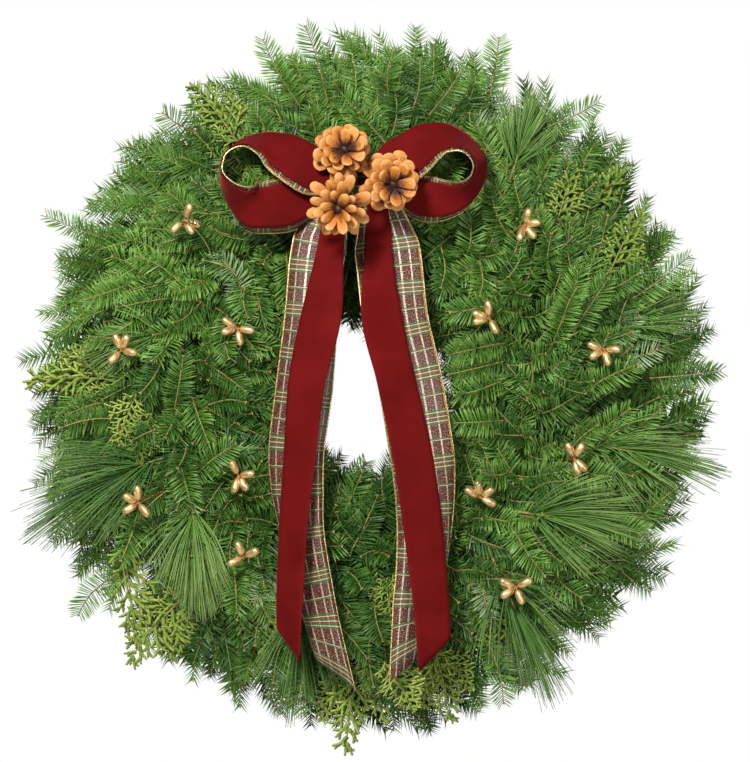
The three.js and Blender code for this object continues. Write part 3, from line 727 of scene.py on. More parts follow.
# Longer twigs that lie on top of the rest: how far right of the middle and above it each starts and ends.
LONG_TWIGS = [
    ((165, 38), (204, 99)), ((152, 34), (180, 110)), ((208, 69), (272, 116)), ((236, 10), (300, 17)),
    ((174, -6), (227, 23)), ((-165, -18), (-156, 34)), ((-196, -104), (-212, -150)),
    ((-150, -6), (-133, -50)), ((-163, -50), (-147, -108)), ((-150, -75), (-108, -42)),
    ((-214, -155), (-247, -193)), ((-116, -140), (-112, -192)), ((-36, 244), (-56, 311)),
    ((-60, 240), (-92, 300)), ((16, 244), (22, 292)), ((50, 232), (80, 274)), ((102, 248), (109, 300)),
    ((150, 222), (196, 244)), ((-150, 218), (-178, 236)), ((-226, 128), (-276, 148)),
    ((118, -112), (150, -160)), ((100, -212), (112, -268)), ((-196, 92), (-244, 74)),
    ((190, -110), (244, -126)), ((114, 40), (60, 28)), ((112, 8), (64, -6)), ((108, 74), (60, 64)),
    ((112, -26), (61, -28)), ((112, 24), (61, 12)),
]
print(sum(rank[0] for rank in RANKS), "twigs a bunch in ranks, and", len(LONG_TWIGS), "on top of them all")


# %% A twig and its side shoots
def nearest_twig(kind, long):
    if kind == "deep":
        return DEEP_TWIGS[rng.integers(2)]
    size = min(SIZES, key=lambda name: abs(name * MM - long))
    twigs = (FINE_TWIGS if kind == "fine" else PLAIN_TWIGS)[size]
    return twigs[rng.integers(len(twigs))]


PRESSED, FREE = 58, 90


def forward_limit(spot):
    """How far forward a twig may come, in millimetres: the bow and its tails press those behind them back."""
    x, z = (spot.x - MIDDLE.x) / MM, (spot.z - MIDDLE.z) / MM
    behind_bow = abs(x) < 140 and 120 < z < 240 or abs(x) < 90 and z <= 120
    return PRESSED if behind_bow else FREE


def add_spray(bm, route, shoots, kind, tone):
    """A twig along a route, and its side shoots, which leave it in its own plane and bend forward."""
    at_back = route[-1].y > MIDDLE.y - 14 * MM
    roll = rng.normal(0, 5 if at_back or forward_limit(route[1]) == PRESSED else 20)
    line = smooth(route, 12)
    run = run_of(line)
    add_bent(bm, nearest_twig(kind, run), line, roll=roll, spray=tone)
    along, across, out = frames_along(line, FRONT, roll)
    side = rng.choice((-1, 1))
    for n in range(shoots):
        at = int(rng.integers(2, 5)) + 3 * n
        long = run * rng.uniform(0.45, 0.6) * (1 - 0.15 * n)
        fork = radians(rng.normal(44, 5))
        start, way = line[at], along[at] * cos(fork) + across[at] * side * sin(fork)
        tip = start + way * long * 0.8 + along[at] * long * 0.2
        over = (Vector(tip) - MIDDLE).length - outer_limit(tip[0], tip[2]) * MM
        if over > 0:
            long -= over
            tip = start + way * long * 0.8 + along[at] * long * 0.2
        bend = start + way * long * 0.5 + out[at] * long * rng.normal(0.03, 0.02)
        add_bent(bm, nearest_twig(kind, long), smooth((start, bend, tip), 8), roll=roll, spray=tone)
        side = -side


def twig_route(middle, across, places):
    """A twig's route, swept round the ring as it goes out, with its own reach and turn."""
    reach, turn = rng.uniform(-14, 8), rng.normal(0, 6)
    outward = 1 if places[-1][0] > places[0][0] else -1
    loose = 1.5 if places[-1][0] > 240 else 0
    route = []
    for step, (radius, depth) in enumerate(places):
        clock = middle + across + sweep(radius) + turn * step / 2
        rim = polar(radius, clock, 0)
        longer = outward * (reach + 14 * above(rim.x, rim.z)) * step / 2
        far = min(radius + longer, outer_limit(rim.x, rim.z) - 2)
        spot = polar(far, clock, depth + rng.normal(0, 2 + loose * step))
        route.append(Vector((spot.x, max(spot.y, MIDDLE.y - forward_limit(spot) * MM), spot.z)))
    return route


print("twigs come", FREE, "mm forward, and", PRESSED, "mm behind the bow")


# %% Bunches
def fir_bunch(number):
    bm = bmesh.new()
    middle = number * BUNCH_STEP
    fresh = rng.uniform(0.65, 1.1)
    for count, *places, shoots, kind in RANKS:
        offset = rng.uniform(-0.5, 0.5)
        for n in range(count):
            across = ((n + 0.5 + 0.4 * offset) / count - 0.5) * BUNCH_STEP + rng.normal(0, 1.8)
            tone = 1.5 if rng.random() < 0.035 else fresh * rng.random()
            # Twigs of the deep ranks get the darkest tone: painted shade in the heart of the wreath. Deep
            # twigs that reach the rim, and all twigs that end past 280 mm, are made lighter: painted light on
            # the rim.
            if kind == "deep":
                tone = 0.75 if places[-1][0] > 270 else 0
            elif places[-1][0] > 280:
                tone = 0.3 + 0.75 * tone
            route = twig_route(middle, across, places)
            # Twigs between the ribbon tails keep a third of their tone: painted shade of the tails.
            shaded = abs(route[1].x - MIDDLE.x) < 52 * MM and route[1].z < MIDDLE.z + 140 * MM
            add_spray(bm, route, shoots, kind, tone * (0.3 if shaded else 1))
    for start, end in LONG_TWIGS:
        if round(degrees(atan2(start[1], start[0])) / BUNCH_STEP) % BUNCHES == number:
            foot, tip = place_mm(start[0], -60, start[1]), place_mm(end[0], -78, end[1])
            bend = (foot + tip) / 2 + Vector((rng.normal(0, 2), -10, rng.normal(0, 2))) * MM
            add_spray(bm, [foot, bend, tip], 0, "fine", rng.uniform(0.4, 1))
    for places in BEHIND_LOOPS.get(number, ()):
        route = [polar(radius, clock, depth) for (radius, clock), depth in zip(places, (-74, -86, -88))]
        # A bright tone: painted light in the shade of the bow's loops.
        add_spray(bm, route, 1, "fine", 1)
    nodes = (f"fir_bunch_{number + 1}",)
    finish_piece(bm, f"fir_{number + 1}", (FIR_LEAF, BARK, BUD_SCALES), nodes, flat=True)


for number in range(BUNCHES):
    fir_bunch(number)


# %% [markdown]
# ## Stems of the trim
# Pine, cedar and berries each have a stem of their own, pushed through the fir to the bound stems. A stem
# starts at its seat on them, comes forward, and bends out to its spray. The same places as on the solids
# are used.


# %% Stem routes
SEAT_DEPTH = -23


def trim_route(clock, seat, *spots):
    """Places of a stem from its seat forward through the bunch and out to its spray."""
    forward = spots[0][2] + 26
    places = [(154, seat, SEAT_DEPTH), (155, seat, forward), *spots]
    return [polar(radius, clock + turn, depth) for radius, turn, depth in places]


def stem_template(thick, thin, sides=5, steps=10):
    return new_template("stem", lambda bm: add_stem(bm, 1.0, thick * MM, thin * MM, sides, steps, 1))


print("stems are seated", -SEAT_DEPTH, "mm in front of the ring's middle")

# %% [markdown]
# ## White pine tufts
# White pine bears its needles five to a bundle, thin, soft and 70 to 90 mm long. Each tuft is a fan of
# bundles that leave the stem at a wide angle at its base and nearly straight at its tip, and bend a
# little towards it.

# %% Pine tufts
# The turn from one bundle, or one scale of a cone, to the next: 137.5 degrees, in radians.
SPIRAL = 2.39996
# Angle of the stem round the ring, its seat, the tuft's base and tip, its needles' length in mm, how many
# bundles of them it has, and how light it is.
PINE_TUFTS = [
    (197, 3, (190, 1, -66), (244, 3, -64), 80, 48, 0.4),
    (214, 2, (178, 0, -74), (196, 8, -76), 64, 44, 1.15),
    (165, 6, (180, 0, -66), (206, 4, -68), 50, 30, 0.7),
    (252, -4, (192, 0, -66), (226, 2, -62), 68, 34, 0.5),
    (57, -5, (222, 0, -66), (252, 2, -62), 50, 30, 0.6),
    (347, 6, (194, 0, -64), (246, 0, -60), 72, 34, 0.9),
    (324, -5, (168, -2, -74), (196, 3, -76), 78, 36, 0.8),
    (305, 3, (190, 0, -74), (236, -2, -72), 76, 34, 0.5),
    (14, -5, (206, 0, -60), (244, 0, -56), 56, 30, 0.7),
]


def pine_blank(bm):
    add_stem(bm, 1.0, 0.5 * MM, 0.28 * MM, 3, 3, 0)
    for point in bm.verts:
        point[bm.verts.layers.float["reach"]] = point.co.x


PINE_NEEDLE = new_template("pine needle", pine_blank)


def add_pine_needle(bm, root, way, along, long, tone):
    """One needle, from its root along a direction, bending towards the stem's own and a little down."""
    middle = root + way * long * 0.5
    tip = root + (way * 0.86 + along * 0.12 + np.array((0, 0, -0.05))) * long
    draws = np.full(len(PINE_NEEDLE["points"]), rng.random())
    PINE_NEEDLE["mesh"].attributes["draw"].data.foreach_set("value", draws)
    add_bent(bm, PINE_NEEDLE, smooth((root, middle, tip), 5), spray=tone, size=rng.uniform(0.85, 1.15))


def pine_tuft(number, clock, seat, base, tip, needle, bundles, tone):
    bm = bmesh.new()
    route = trim_route(clock, seat, base, tip)
    stem = smooth(route, 16)
    add_bent(bm, stem_template(1.4, 0.9), stem, spray=0.5)
    brush = smooth(route[1:], 60)
    start = 60 - int(60 * (route[-1] - route[-2]).length / run_of(brush)) - 1
    along, across, out = frames_along(brush, FRONT)
    for n in range(bundles):
        share = (n + 0.5) / bundles
        at = int(start + share * (59 - start))
        turn = n * SPIRAL
        splay = radians(46 - 40 * share + rng.normal(0, 5))
        lift = sin(turn) * (0.3 if sin(turn) > 0 else 0.45)
        side = across[at] * cos(turn) + out[at] * lift
        for _ in range(5):
            loose = splay + radians(rng.normal(0, 5))
            way = along[at] * cos(loose) + side * sin(loose) + rng.normal(0, 0.035, 3)
            long = needle * MM * rng.uniform(0.86, 1.02)
            add_pine_needle(bm, brush[at], way / np.linalg.norm(way), along[at], long, tone)
    finish_piece(bm, f"pine_{number}", (PINE_LEAF, BARK), (f"pine_tuft_{number}",))


for number, tuft in enumerate(PINE_TUFTS, 1):
    pine_tuft(number, *tuft)

# %% [markdown]
# ## Cedar fronds
# White cedar has no needles: its flat fronds fork again and again in one plane, and every branchlet is
# covered with tiny scale leaves, which make it look like a braid. One frond template is forked twice by
# the same small function, and bent along each frond's line.


# %% A frond of scale leaves
def scale_leaf_mesh():
    """A branchlet of length 1 along X, flattened, with a beaded edge and a blunt tip."""

    def grow(bm):
        add_stem(bm, 1.0, 0.09, 0.055, 3, 4, 0)
        bmesh.ops.scale(bm, verts=bm.verts, vec=(1, 1, 0.5))
        rings = [[point for point in bm.verts if abs(point.co.x - n / 5) < 0.01] for n in range(6)]
        for n, ring in enumerate(rings[1:5], 1):
            swell = 1.3 if n % 2 else 0.85
            bmesh.ops.scale(bm, verts=ring, vec=(1, swell, swell))
        for point in bm.verts:
            point[bm.verts.layers.float["reach"]] = point.co.x

    return new_template("scale leaves", grow)["mesh"]


SCALE_LEAVES = scale_leaf_mesh()


def cedar_frond_template(long, wide):
    def fork(bm, place, size, depth):
        """A branchlet and the smaller ones that fork from it on both sides."""
        add_copy(bm, SCALE_LEAVES, place @ Matrix.Diagonal((size, 25 * MM, 10 * MM, 1)), rng.random())
        if depth == 0:
            return
        count = max(2, int(size / (4.6 * MM)))
        for n in range(1, count):
            side = 1 if n % 2 else -1
            foot = Matrix.Translation((size * n / count, 0, 0))
            turn = Matrix.Rotation(radians(side * rng.normal(44, 5)), 4, "Z")
            tilt = Matrix.Rotation(radians(rng.normal(0, 9)), 4, "Y")
            rest = min(size * 0.44, 11 * MM) * (1.1 - 0.35 * n / count) * rng.uniform(0.8, 1.15)
            fork(bm, place @ foot @ turn @ tilt, rest, depth - 1)

    def grow(bm):
        add_stem(bm, long, 1.0 * MM, 0.5 * MM, 4, 12, 1)
        count = int(long / (6.4 * MM))
        for n in range(count):
            share = (n + 0.3) / count
            side = 1 if n % 2 else -1
            size = wide * (1.1 - 0.75 * share**1.6) * (0.6 if n < 2 else 1) * rng.uniform(0.85, 1.1)
            foot = Matrix.Translation((share * long, 0, 0.3 * MM))
            turn = Matrix.Rotation(radians(side * rng.normal(46 - 14 * share, 4)), 4, "Z")
            tilt = Matrix.Rotation(radians(rng.normal(4, 7)), 4, "Y")
            fork(bm, foot @ turn @ tilt, size, 1)
        fork(bm, Matrix.Translation((long * 0.94, 0, 0)), wide * 0.42, 1)

    return new_template("cedar frond", grow)


FULL_WIDTH = 34
FRONDS = [cedar_frond_template(90 * MM, 30 * MM) for _ in range(3)]
print("frond faces", [len(frond["mesh"].polygons) for frond in FRONDS])

# %% Cedar fronds
# Angle of the stem round the ring, its seat, the frond's base and tip, and its width in mm.
CEDAR_FRONDS = [
    (178, -5, (200, 0, -61), (290, 0, -54), 34),
    (228, 4, (232, 0, -56), (306, 0, -48), 34),
    (243, 3, (176, 1, -63), (240, 5, -62), 28),
    (268, 6, (218, 0, -56), (304, -2, -48), 34),
    (276, 2, (158, 0, -60), (196, -1, -72), 22),
    (284, 5, (222, 0, -56), (286, 0, -50), 30),
    (297, -4, (182, 0, -63), (246, 4, -62), 30),
    (38, 0, (196, 0, -56), (284, 3, -50), 36),
    (118, -6, (232, 0, -60), (302, 2, -52), 32),
]

# Loose sprays beside a frond: the frond, where the spray starts and ends, its width, and how yellow it is.
LOOSE_SPRAYS = [
    (1, (196, 181, -74), (216, 192, -72), 24, 1.15),
    (1, (184, 186, -74), (206, 197, -72), 22, 0.4),
    (2, (246, 212, -62), (292, 228, -52), 30, 0.7),
    (4, (228, 273, -84), (270, 278, -80), 28, 1.18),
    (5, (156, 277, -74), (182, 283, -80), 22, 1.18),
    (8, (224, 26, -66), (280, 34, -58), 30, 0.5),
    (8, (212, 42, -66), (262, 48, -60), 26, 0.6),
]


def cedar_frond(number, clock, seat, base, tip, wide):
    bm = bmesh.new()
    route = trim_route(clock, seat, base, tip)
    add_bent(bm, stem_template(1.4, 1.0), smooth(route[:3], 12), spray=0.5)
    root, end = route[-2:]
    way = end - root
    across = np.cross(np.array(way), FRONT)
    across /= np.linalg.norm(across)
    tone = rng.uniform(0.35, 0.9)
    tip_line = end + way * 0.04
    sag = Vector((0, 2.5, -3)) * MM
    frond = FRONDS[number % 3]
    spine = smooth((root, root + way * 0.5 - sag * 0.6, tip_line + sag), 10)
    add_bent(bm, frond, spine, size=wide / FULL_WIDTH, spray=tone)
    for side, start, share in ((-1, 0.1, 0.55), (1, 0.22, 0.5)):
        foot = root + way * start
        out = Vector(across) * side * way.length * share * 0.62
        mid = foot + out * 0.55 + way * share * 0.35
        far = foot + out + way * share + sag * 2
        shoot = smooth((foot, mid, far), 8)
        add_bent(bm, FRONDS[(number + side) % 3], shoot, size=0.7 * wide / FULL_WIDTH, spray=tone)
    for owner, start, end, broad, yellow in LOOSE_SPRAYS:
        if owner == number:
            foot, far = polar(*start), polar(*end)
            bow = smooth((foot, (foot + far) / 2 - sag, far + sag), 8)
            add_bent(bm, FRONDS[rng.integers(3)], bow, size=broad / FULL_WIDTH, spray=yellow)
    finish_piece(bm, f"cedar_{number}", (CEDAR_LEAF, BARK), (f"cedar_frond_{number}",))


for number, frond in enumerate(CEDAR_FRONDS, 1):
    cedar_frond(number, *frond)

# %% [markdown]
# ## Berry picks
# A pick is a wire wrapped in copper-coloured paper with four gilded pips at its end. A pip is an egg: a
# sphere drawn out at its stalk. The gilding is paint with metal in it, so it is a rough metal with faint
# brush marks.


# %% Gilding and copper paper
def gilt_material():
    material, tree, shader = new_material("champagne gilding", {"Metallic": 0.75})
    streaks = add_flecks(tree, 260, 4, (0.3, (0.5, 0.3, 0.11)), (0.7, (0.88, 0.63, 0.3)))
    rough = spread(tree, streaks["Height"], 0, 1, 0.3, 0.5)
    feed(shader, {"Base Color": streaks["Color"], "Roughness": rough})
    return material


def copper_material():
    sockets = {"Base Color": (0.42, 0.16, 0.05, 1), "Roughness": 0.5, "Metallic": 0.25}
    material, tree, shader = new_material("copper paper", sockets)
    feed(shader, {"Normal": bump(tree, noise(tree, 900), 0.5, 0.2)})
    return material


GILT, COPPER = gilt_material(), copper_material()
print("gilding and copper paper ready")

# %% Picks
# Angle of the stem round the ring, its seat, where its pips are, and how they are turned.
BERRY_PICKS = [
    (137.5, 4, (211, 0, -84), 80),
    (155, 2, (123, 0, -70), 10),
    (171, 4, (211, 0, -84), 190),
    (206, 0, (215, 0, -98), 250),
    (213, 0, (132, 0, -74), 30),
    (233, 3, (175, 0, -90), 120),
    (47, 3, (189, 0, -84), 200),
    (31, 3, (117, 0, -77), 60),
    (10, -5, (199, 0, -84), 140),
    (341.5, -4, (180, 0, -84), 300),
    (315.5, 4, (129, 0, -72), 20),
    (306.5, -2, (205, 0, -94), 220),
]
PIP_LENGTH, PIP_WIDTH = 13.5, 7.77


def pip_mesh():
    def grow(bm):
        bmesh.ops.create_uvsphere(bm, u_segments=14, v_segments=10, radius=0.5)
        bmesh.ops.rotate(bm, verts=bm.verts, cent=(0, 0, 0), matrix=Matrix.Rotation(radians(90), 3, "Y"))
        for point in bm.verts:
            share = min(abs(2 * point.co.x), 0.999)
            blunt = (1 - share**2.5) ** 0.42 / (1 - share**2) ** 0.5 * (1 - 0.16 * (0.5 - point.co.x))
            point.co.y, point.co.z = point.co.y * blunt, point.co.z * blunt
        bmesh.ops.translate(bm, verts=bm.verts, vec=(0.5, 0, 0))

    return new_template("pip", grow)["mesh"]


PIP = pip_mesh()


def berry_pick(number, clock, seat, spot, roll):
    bm = bmesh.new()
    inward = spot[0] < 152
    foot = 150 if inward else 160
    between = (foot * 0.45 + spot[0] * 0.55, seat * 0.45 + spot[1] * 0.55, spot[2] + 32)
    places = [(min(foot, 154), seat, SEAT_DEPTH), (foot, seat, spot[2] + 46), between, spot]
    route = [polar(radius, clock + turn, depth) for radius, turn, depth in places]
    add_bent(bm, stem_template(0.95, 0.9, 6), smooth(route, 14), spray=0.5)
    root = route[-1]
    for turn in (0, 52, 118, 205):
        angle = radians(clock + roll + turn + rng.normal(0, 14))
        way = Vector((cos(angle), rng.uniform(-0.5, -0.1), sin(angle))).normalized()
        stalk = [root, root + way * 1.5 * MM, root + way * 3.5 * MM]
        add_bent(bm, stem_template(0.8, 0.7, 5, 2), stalk, spray=0.5)
        egg = way.to_track_quat("X", "Z").to_matrix().to_4x4()
        size = Matrix.Diagonal((PIP_LENGTH * MM, PIP_WIDTH * MM, PIP_WIDTH * MM, 1))
        add_copy(bm, PIP, Matrix.Translation(root + way * 2 * MM) @ egg @ size, rng.random())
    finish_piece(bm, f"berries_{number}", (GILT, COPPER), (f"berry_pick_{number}",))


for number, pick in enumerate(BERRY_PICKS, 1):
    berry_pick(number, *pick)

# %% [markdown]
# ## Pine cones
# A cone carries its scales in a spiral, each turned 137.5 degrees on from the last, so no two stand in
# line. One scale is a rounded paddle: a cube, cut, drawn narrow at its root and thick at its end. The
# open cone's scales stand well apart, and those of the closed ones lie over each other like petals.


# %% Cone finish
CONE_SHADES = [
    (0.25, (0.035, 0.008, 0.002)), (0.45, (0.22, 0.06, 0.01)), (0.6, (0.5, 0.17, 0.024)),
    (0.8, (0.62, 0.23, 0.045)), (1.0, (0.74, 0.33, 0.1)),
]


def cone_material():
    """Brown from the dark root of a scale to its pale end, with fine streaks along it and worn patches. The
    dark root is partly the scale's own brown and partly painted shade between the scales.
    """
    material, tree, shader = new_material("cone scale", {"Roughness": 0.48, "Specular IOR Level": 0.4})
    reach, own, rim = own_numbers(tree)
    grain, worn = noise(tree, 420, 5), noise(tree, 90)
    drawn = calculate(tree, "MULTIPLY", reach, 0.28)
    streaks = noise(tree, 11, where=add_node(tree, "CombineXYZ", {"X": drawn, "Y": rim, "Z": own}))
    # Darker towards each scale's root: partly its own brown, partly painted shade in the gaps between scales.
    total = reach
    for value, weight in ((rim, 0.1), (own, 0.32), (grain, 0.26), (worn, 0.5), (streaks, 1.0)):
        total = calculate(tree, "MULTIPLY_ADD", value, weight, total)
    shade = ramp(tree, calculate(tree, "SUBTRACT", total, 1.06), *CONE_SHADES)
    relief = bump(tree, calculate(tree, "ADD", grain, streaks), 1.0, 0.6)
    feed(shader, {"Base Color": shade, "Normal": relief})
    return material


CONE_SCALE = cone_material()
print("cone finish of", len(CONE_SHADES), "browns")


# %% Cone scales
def scale_mesh(broad, swell):
    """A scale of length 1 along X: a cube drawn into a spoon, narrow at its root and rounded at its end."""

    def grow(bm):
        bmesh.ops.create_cube(bm, size=1)
        bmesh.ops.subdivide_edges(bm, edges=bm.edges[:], cuts=3, use_grid_fill=True)
        rim = bm.verts.layers.float["spray"]
        for point in bm.verts:
            reach, edge, side = point.co.x + 0.5, point.co.y * 2, point.co.z * 2
            wide = broad * (0.4 + 0.6 * min(reach / 0.6, 1) ** 0.8)
            thick = 0.028 + swell * max(reach - 0.55, 0) / 0.45
            point[rim] = max(abs(edge), 1 if reach > 0.95 else 0)
            point.co.x = reach * (1 - 0.1 * edge**2 * reach) - 0.03 * abs(side) * reach**4
            point.co.y = edge * wide * (1 - 0.16 * max(reach - 0.8, 0) / 0.2) * (1 - 0.1 * side**2)
            ridge = 0.045 * (1 - abs(edge)) * reach
            point.co.z = side * thick * (1 - 0.4 * edge**2) + ridge * max(side, 0) + 0.12 * reach**3
        axes = {f"use_axis_{axis}": True for axis in "xyz"}
        bmesh.ops.smooth_vert(bm, verts=bm.verts, factor=0.2, **axes)
        for point in bm.verts:
            point[bm.verts.layers.float["reach"]] = min(max(point.co.x, 0), 1)

    return new_template("cone scale", grow)["mesh"]


SCALES = {"foot": scale_mesh(0.29, 0.014), "tip": scale_mesh(0.19, 0.024)}
print("scales of", len(SCALES["foot"].polygons), "faces")

# %% Cones
# Each cone: its node, middle, radius, the way its axis leans, and which end faces forward, foot or open tip.
CONES = [
    ("cone_top", (-23, -127, 201.5), 24, (0.1, -1, 0.15), "foot"),
    ("cone_right", (17, -128, 174), 24, (0.15, -1, -0.1), "foot"),
    ("cone_low", (-27, -142, 154), 26, (-0.05, -1, -0.35), "tip"),
]


def cone_scale_places(seen):
    """For each scale: how far forward its root is, its distance from the axis, its rise and its length."""
    if seen == "foot":
        for share in np.linspace(0.04, 1, 31):
            yield 0.42 - 1.0 * share, 0.08 + 0.1 * share, 24 - 50 * share, 0.66 + 0.32 * share
    else:
        for share in np.linspace(0, 1, 29):
            yield -0.5 + 0.8 * share, 0.13 - 0.07 * share, 64 * share, 0.97 - 0.15 * share**2


def pine_cone(name, spot, radius, lean, seen):
    bm = numbered_bmesh()
    axis = Vector(lean).normalized()
    middle = place_mm(*spot)
    upright = axis.to_track_quat("Z", "X").to_matrix()
    core = bmesh.ops.create_icosphere(bm, subdivisions=2, radius=0.26 * radius * MM)["verts"]
    bmesh.ops.scale(bm, verts=core, vec=(1, 1, 2.4))
    middle += Vector((1.5, 0, -3)) * MM
    stand = Matrix.Translation(middle - axis * radius * 0.2 * MM) @ upright.to_4x4()
    bmesh.ops.transform(bm, matrix=stand, verts=core)
    for n, (height, apart, rise, long) in enumerate(cone_scale_places(seen)):
        turn = n * SPIRAL + rng.normal(0, 0.06)
        rise = radians(rise + rng.normal(0, 6))
        radial = upright @ Vector((cos(turn), sin(turn), 0))
        way = radial * cos(rise) + axis * sin(rise)
        out = axis * cos(rise) - radial * sin(rise)
        if seen == "tip":
            out = -out
        root = middle + (axis * height + radial * apart) * radius * MM
        facing = Matrix((way, out.cross(way), out)).transposed().to_4x4()
        facing = facing @ Matrix.Rotation(rng.normal(0, 0.16), 4, "X")
        size = long * radius * MM * rng.uniform(0.86, 1.08)
        add_copy(bm, SCALES[seen], Matrix.Translation(root) @ facing @ Matrix.Scale(size, 4), rng.random())
    finish_piece(bm, name.replace("cone", "pinecone"), (CONE_SCALE,), (name,))


for cone in CONES:
    pine_cone(*cone)

# %% [markdown]
# ## The bow
# The bow is two ribbons laid together: crimson velvet, 36.5 mm wide, over a sheer plaid, 57 mm wide, with
# a gold wire in each edge. Each strip is a grid whose rows follow two edge lines, so that it can turn and
# pinch as the ribbon does. A cloth simulation would lose the loops that the wired edges hold, so the
# ribbons follow their edge lines instead, which draw them narrow where they close in at the knot.

# %% Edge lines of the ribbons
VELVET_WIDTH, PLAID_WIDTH = 36.5, 57
# How far the loops' plaid stands out beyond the velvet's front edge, in millimetres.
PLAID_PROUD = 4.5
LOOP_ROWS, TAIL_ROWS = 145, 113
LOOP_FRONT = [
    (-13, -93.5, 182), (-38, -96, 179), (-70, -103, 172), (-90, -111, 169), (-109, -117, 168),
    (-122, -120, 178), (-126, -121, 190), (-119, -121, 202), (-104, -121, 209), (-90, -120, 206),
    (-78, -118, 196), (-66, -115, 179), (-46, -109, 166), (-26, -102, 168), (-11, -100, 172),
    (4, -100, 168), (24, -105, 172), (38, -111, 180), (47, -115, 191), (56, -118, 201), (68, -120, 204),
    (81, -121, 199), (88, -121, 188), (86, -119, 177), (78, -114, 171), (64, -107, 170), (44, -99, 174),
    (20, -95, 180), (-9, -93.5, 182),
]
LOOP_BACK = [
    (-13, -93.5, 170), (-34, -94, 161), (-60, -95, 140), (-77, -95, 136), (-93, -96, 137),
    (-110, -92, 148), (-122, -88, 164), (-128, -86, 182), (-124, -86, 198), (-112, -88, 211),
    (-92, -94, 217), (-70, -101, 215), (-46, -104, 202), (-26, -101, 188), (-11, -100, 184),
    (4, -100, 190), (18, -101, 208), (30, -99, 217), (44, -96, 223), (66, -92, 223), (83, -88, 214),
    (93, -87, 203), (98, -86, 190), (96, -88, 175), (87, -91, 160), (74, -94, 149), (52, -95, 145),
    (20, -94, 160), (-9, -93.5, 170),
]
TAIL_LEFT = [
    (-78, -99, -212), (-78, -98, -178), (-76, -94, -116), (-72, -94, -54), (-68, -96, 8),
    (-58, -96, 60), (-46, -91, 110), (-40, -87, 140), (-32, -88.5, 168), (-11, -90.4, 185),
    (10, -88.5, 168), (17, -87, 140), (19, -92, 110), (27, -96, 60), (38, -97, 8), (52, -95, -54),
    (61, -95, -116), (66, -97, -178), (68, -99, -221),
]
TAIL_RIGHT = [
    (-58, -122, -212), (-56, -121, -178), (-52, -117, -116), (-45, -112, -54), (-37, -110, 8),
    (-24, -104, 60), (-22, -92, 110), (-21, -87, 140), (-19, -88.5, 160), (-11, -90.4, 172),
    (-3, -88.5, 160), (-3, -87, 140), (-5, -94, 110), (-7, -104, 60), (6, -110, 8), (19, -108, -54),
    (28, -108, -116), (36, -112, -178), (40, -114, -221),
]
PLAID_LEFT = [
    (-42, -92, -230), (-61, -90, -172), (-74, -88, -112), (-80, -88, -54), (-77, -89, -12),
    (-72, -89, 60), (-62, -87, 112), (-48, -85, 142), (-33, -86.5, 168), (-11, -88.9, 185),
    (12, -86.5, 168), (24, -85, 140), (36, -87, 104), (46, -89, 60), (59, -89, 8), (67, -89, -42),
    (72, -89, -94), (66, -89, -150), (48, -90, -226),
]
PLAID_RIGHT = [
    (-20, -104, -240), (-34, -104, -168), (-43, -102, -112), (-41, -101, -54), (-34, -99, -12),
    (-20, -96, 60), (-20, -89, 112), (-20, -85, 142), (-18, -86.5, 158), (-11, -88.9, 172),
    (-4, -86.5, 158), (-4, -85, 138), (-6, -89, 104), (-6, -96, 60), (5, -99, 8), (14, -100, -42),
    (22, -101, -94), (27, -102, -150), (24, -104, -228),
]
LOOPS = LOOP_FRONT, LOOP_BACK
print("each loop edge has", len(LOOP_FRONT), "places, and each tail edge", len(TAIL_LEFT))


# %% Rows of a ribbon
def ribbon_rows(edges, outs, rows, set_in=0.0, slant=0.0, shown=None):
    """Points of a ribbon, a row for each step along it and a point for each distance across it.

    `shown` gives the share of what is wider than the velvet that lies flat; the rest turns back behind it.
    """
    left, right = (smooth([place_mm(*spot) for spot in edge], rows, even=False) for edge in edges)
    middles = (left + right) / 2
    along = np.gradient(middles, axis=0)
    along /= np.linalg.norm(along, axis=1)[:, None]
    across = right - left
    drawn = np.minimum(np.linalg.norm(across, axis=1) / (VELVET_WIDTH * MM), 1)
    across -= along * (across * along).sum(axis=1)[:, None]
    across /= np.linalg.norm(across, axis=1)[:, None]
    through = np.cross(across, along)
    run = np.concatenate([[0], np.cumsum(np.linalg.norm(np.diff(middles, axis=0), axis=1))])
    cut = np.zeros(rows)
    cut[:6], cut[-6:] = -slant * np.linspace(1, 0, 6), slant * np.linspace(0, 1, 6)
    grid = np.empty((rows, len(outs), 3))
    for k, out in enumerate(outs):
        proud = np.sign(out) * max(abs(out) - VELVET_WIDTH / 2, 0)
        shows = np.ones((rows, 1)) if shown is None else shown(out, across, middles)
        lies = (out - proud + proud * shows) * drawn[:, None]
        grid[:, k] = middles + across * lies * MM + through * set_in * MM
        grid[:, k] -= FRONT * abs(proud) * (1 - shows**2) ** 0.5 * drawn[:, None] * MM
        grid[:, k] += along * (out * cut)[:, None] * MM
    return grid, run


loops_run = ribbon_rows(LOOPS, [0], LOOP_ROWS)[1]
print("both loops take", round(loops_run[-1] / MM), "mm of ribbon")


# %% Cloth and edge wires
def ribbon_piece(name, grid, run, outs, width, material, nodes):
    """A cloth grid with its rows and columns in the places given, and a UV map in ribbon widths."""
    rows, columns = grid.shape[:2]
    bm = bmesh.new()
    bmesh.ops.create_grid(bm, x_segments=columns - 1, y_segments=rows - 1, size=0.5)
    uv = bm.loops.layers.uv.new("ribbon")
    spots = {}
    for point in bm.verts:
        k = round((point.co.x + 0.5) * (columns - 1))
        i = round((point.co.y + 0.5) * (rows - 1))
        spots[point] = ((outs[k] - outs[0]) / width, run[i] / (width * MM))
        point.co = grid[i, k]
    for face in bm.faces:
        for corner in face.loops:
            corner[uv].uv = spots[corner.vert]
    return finish_piece(bm, name, (material,), nodes)


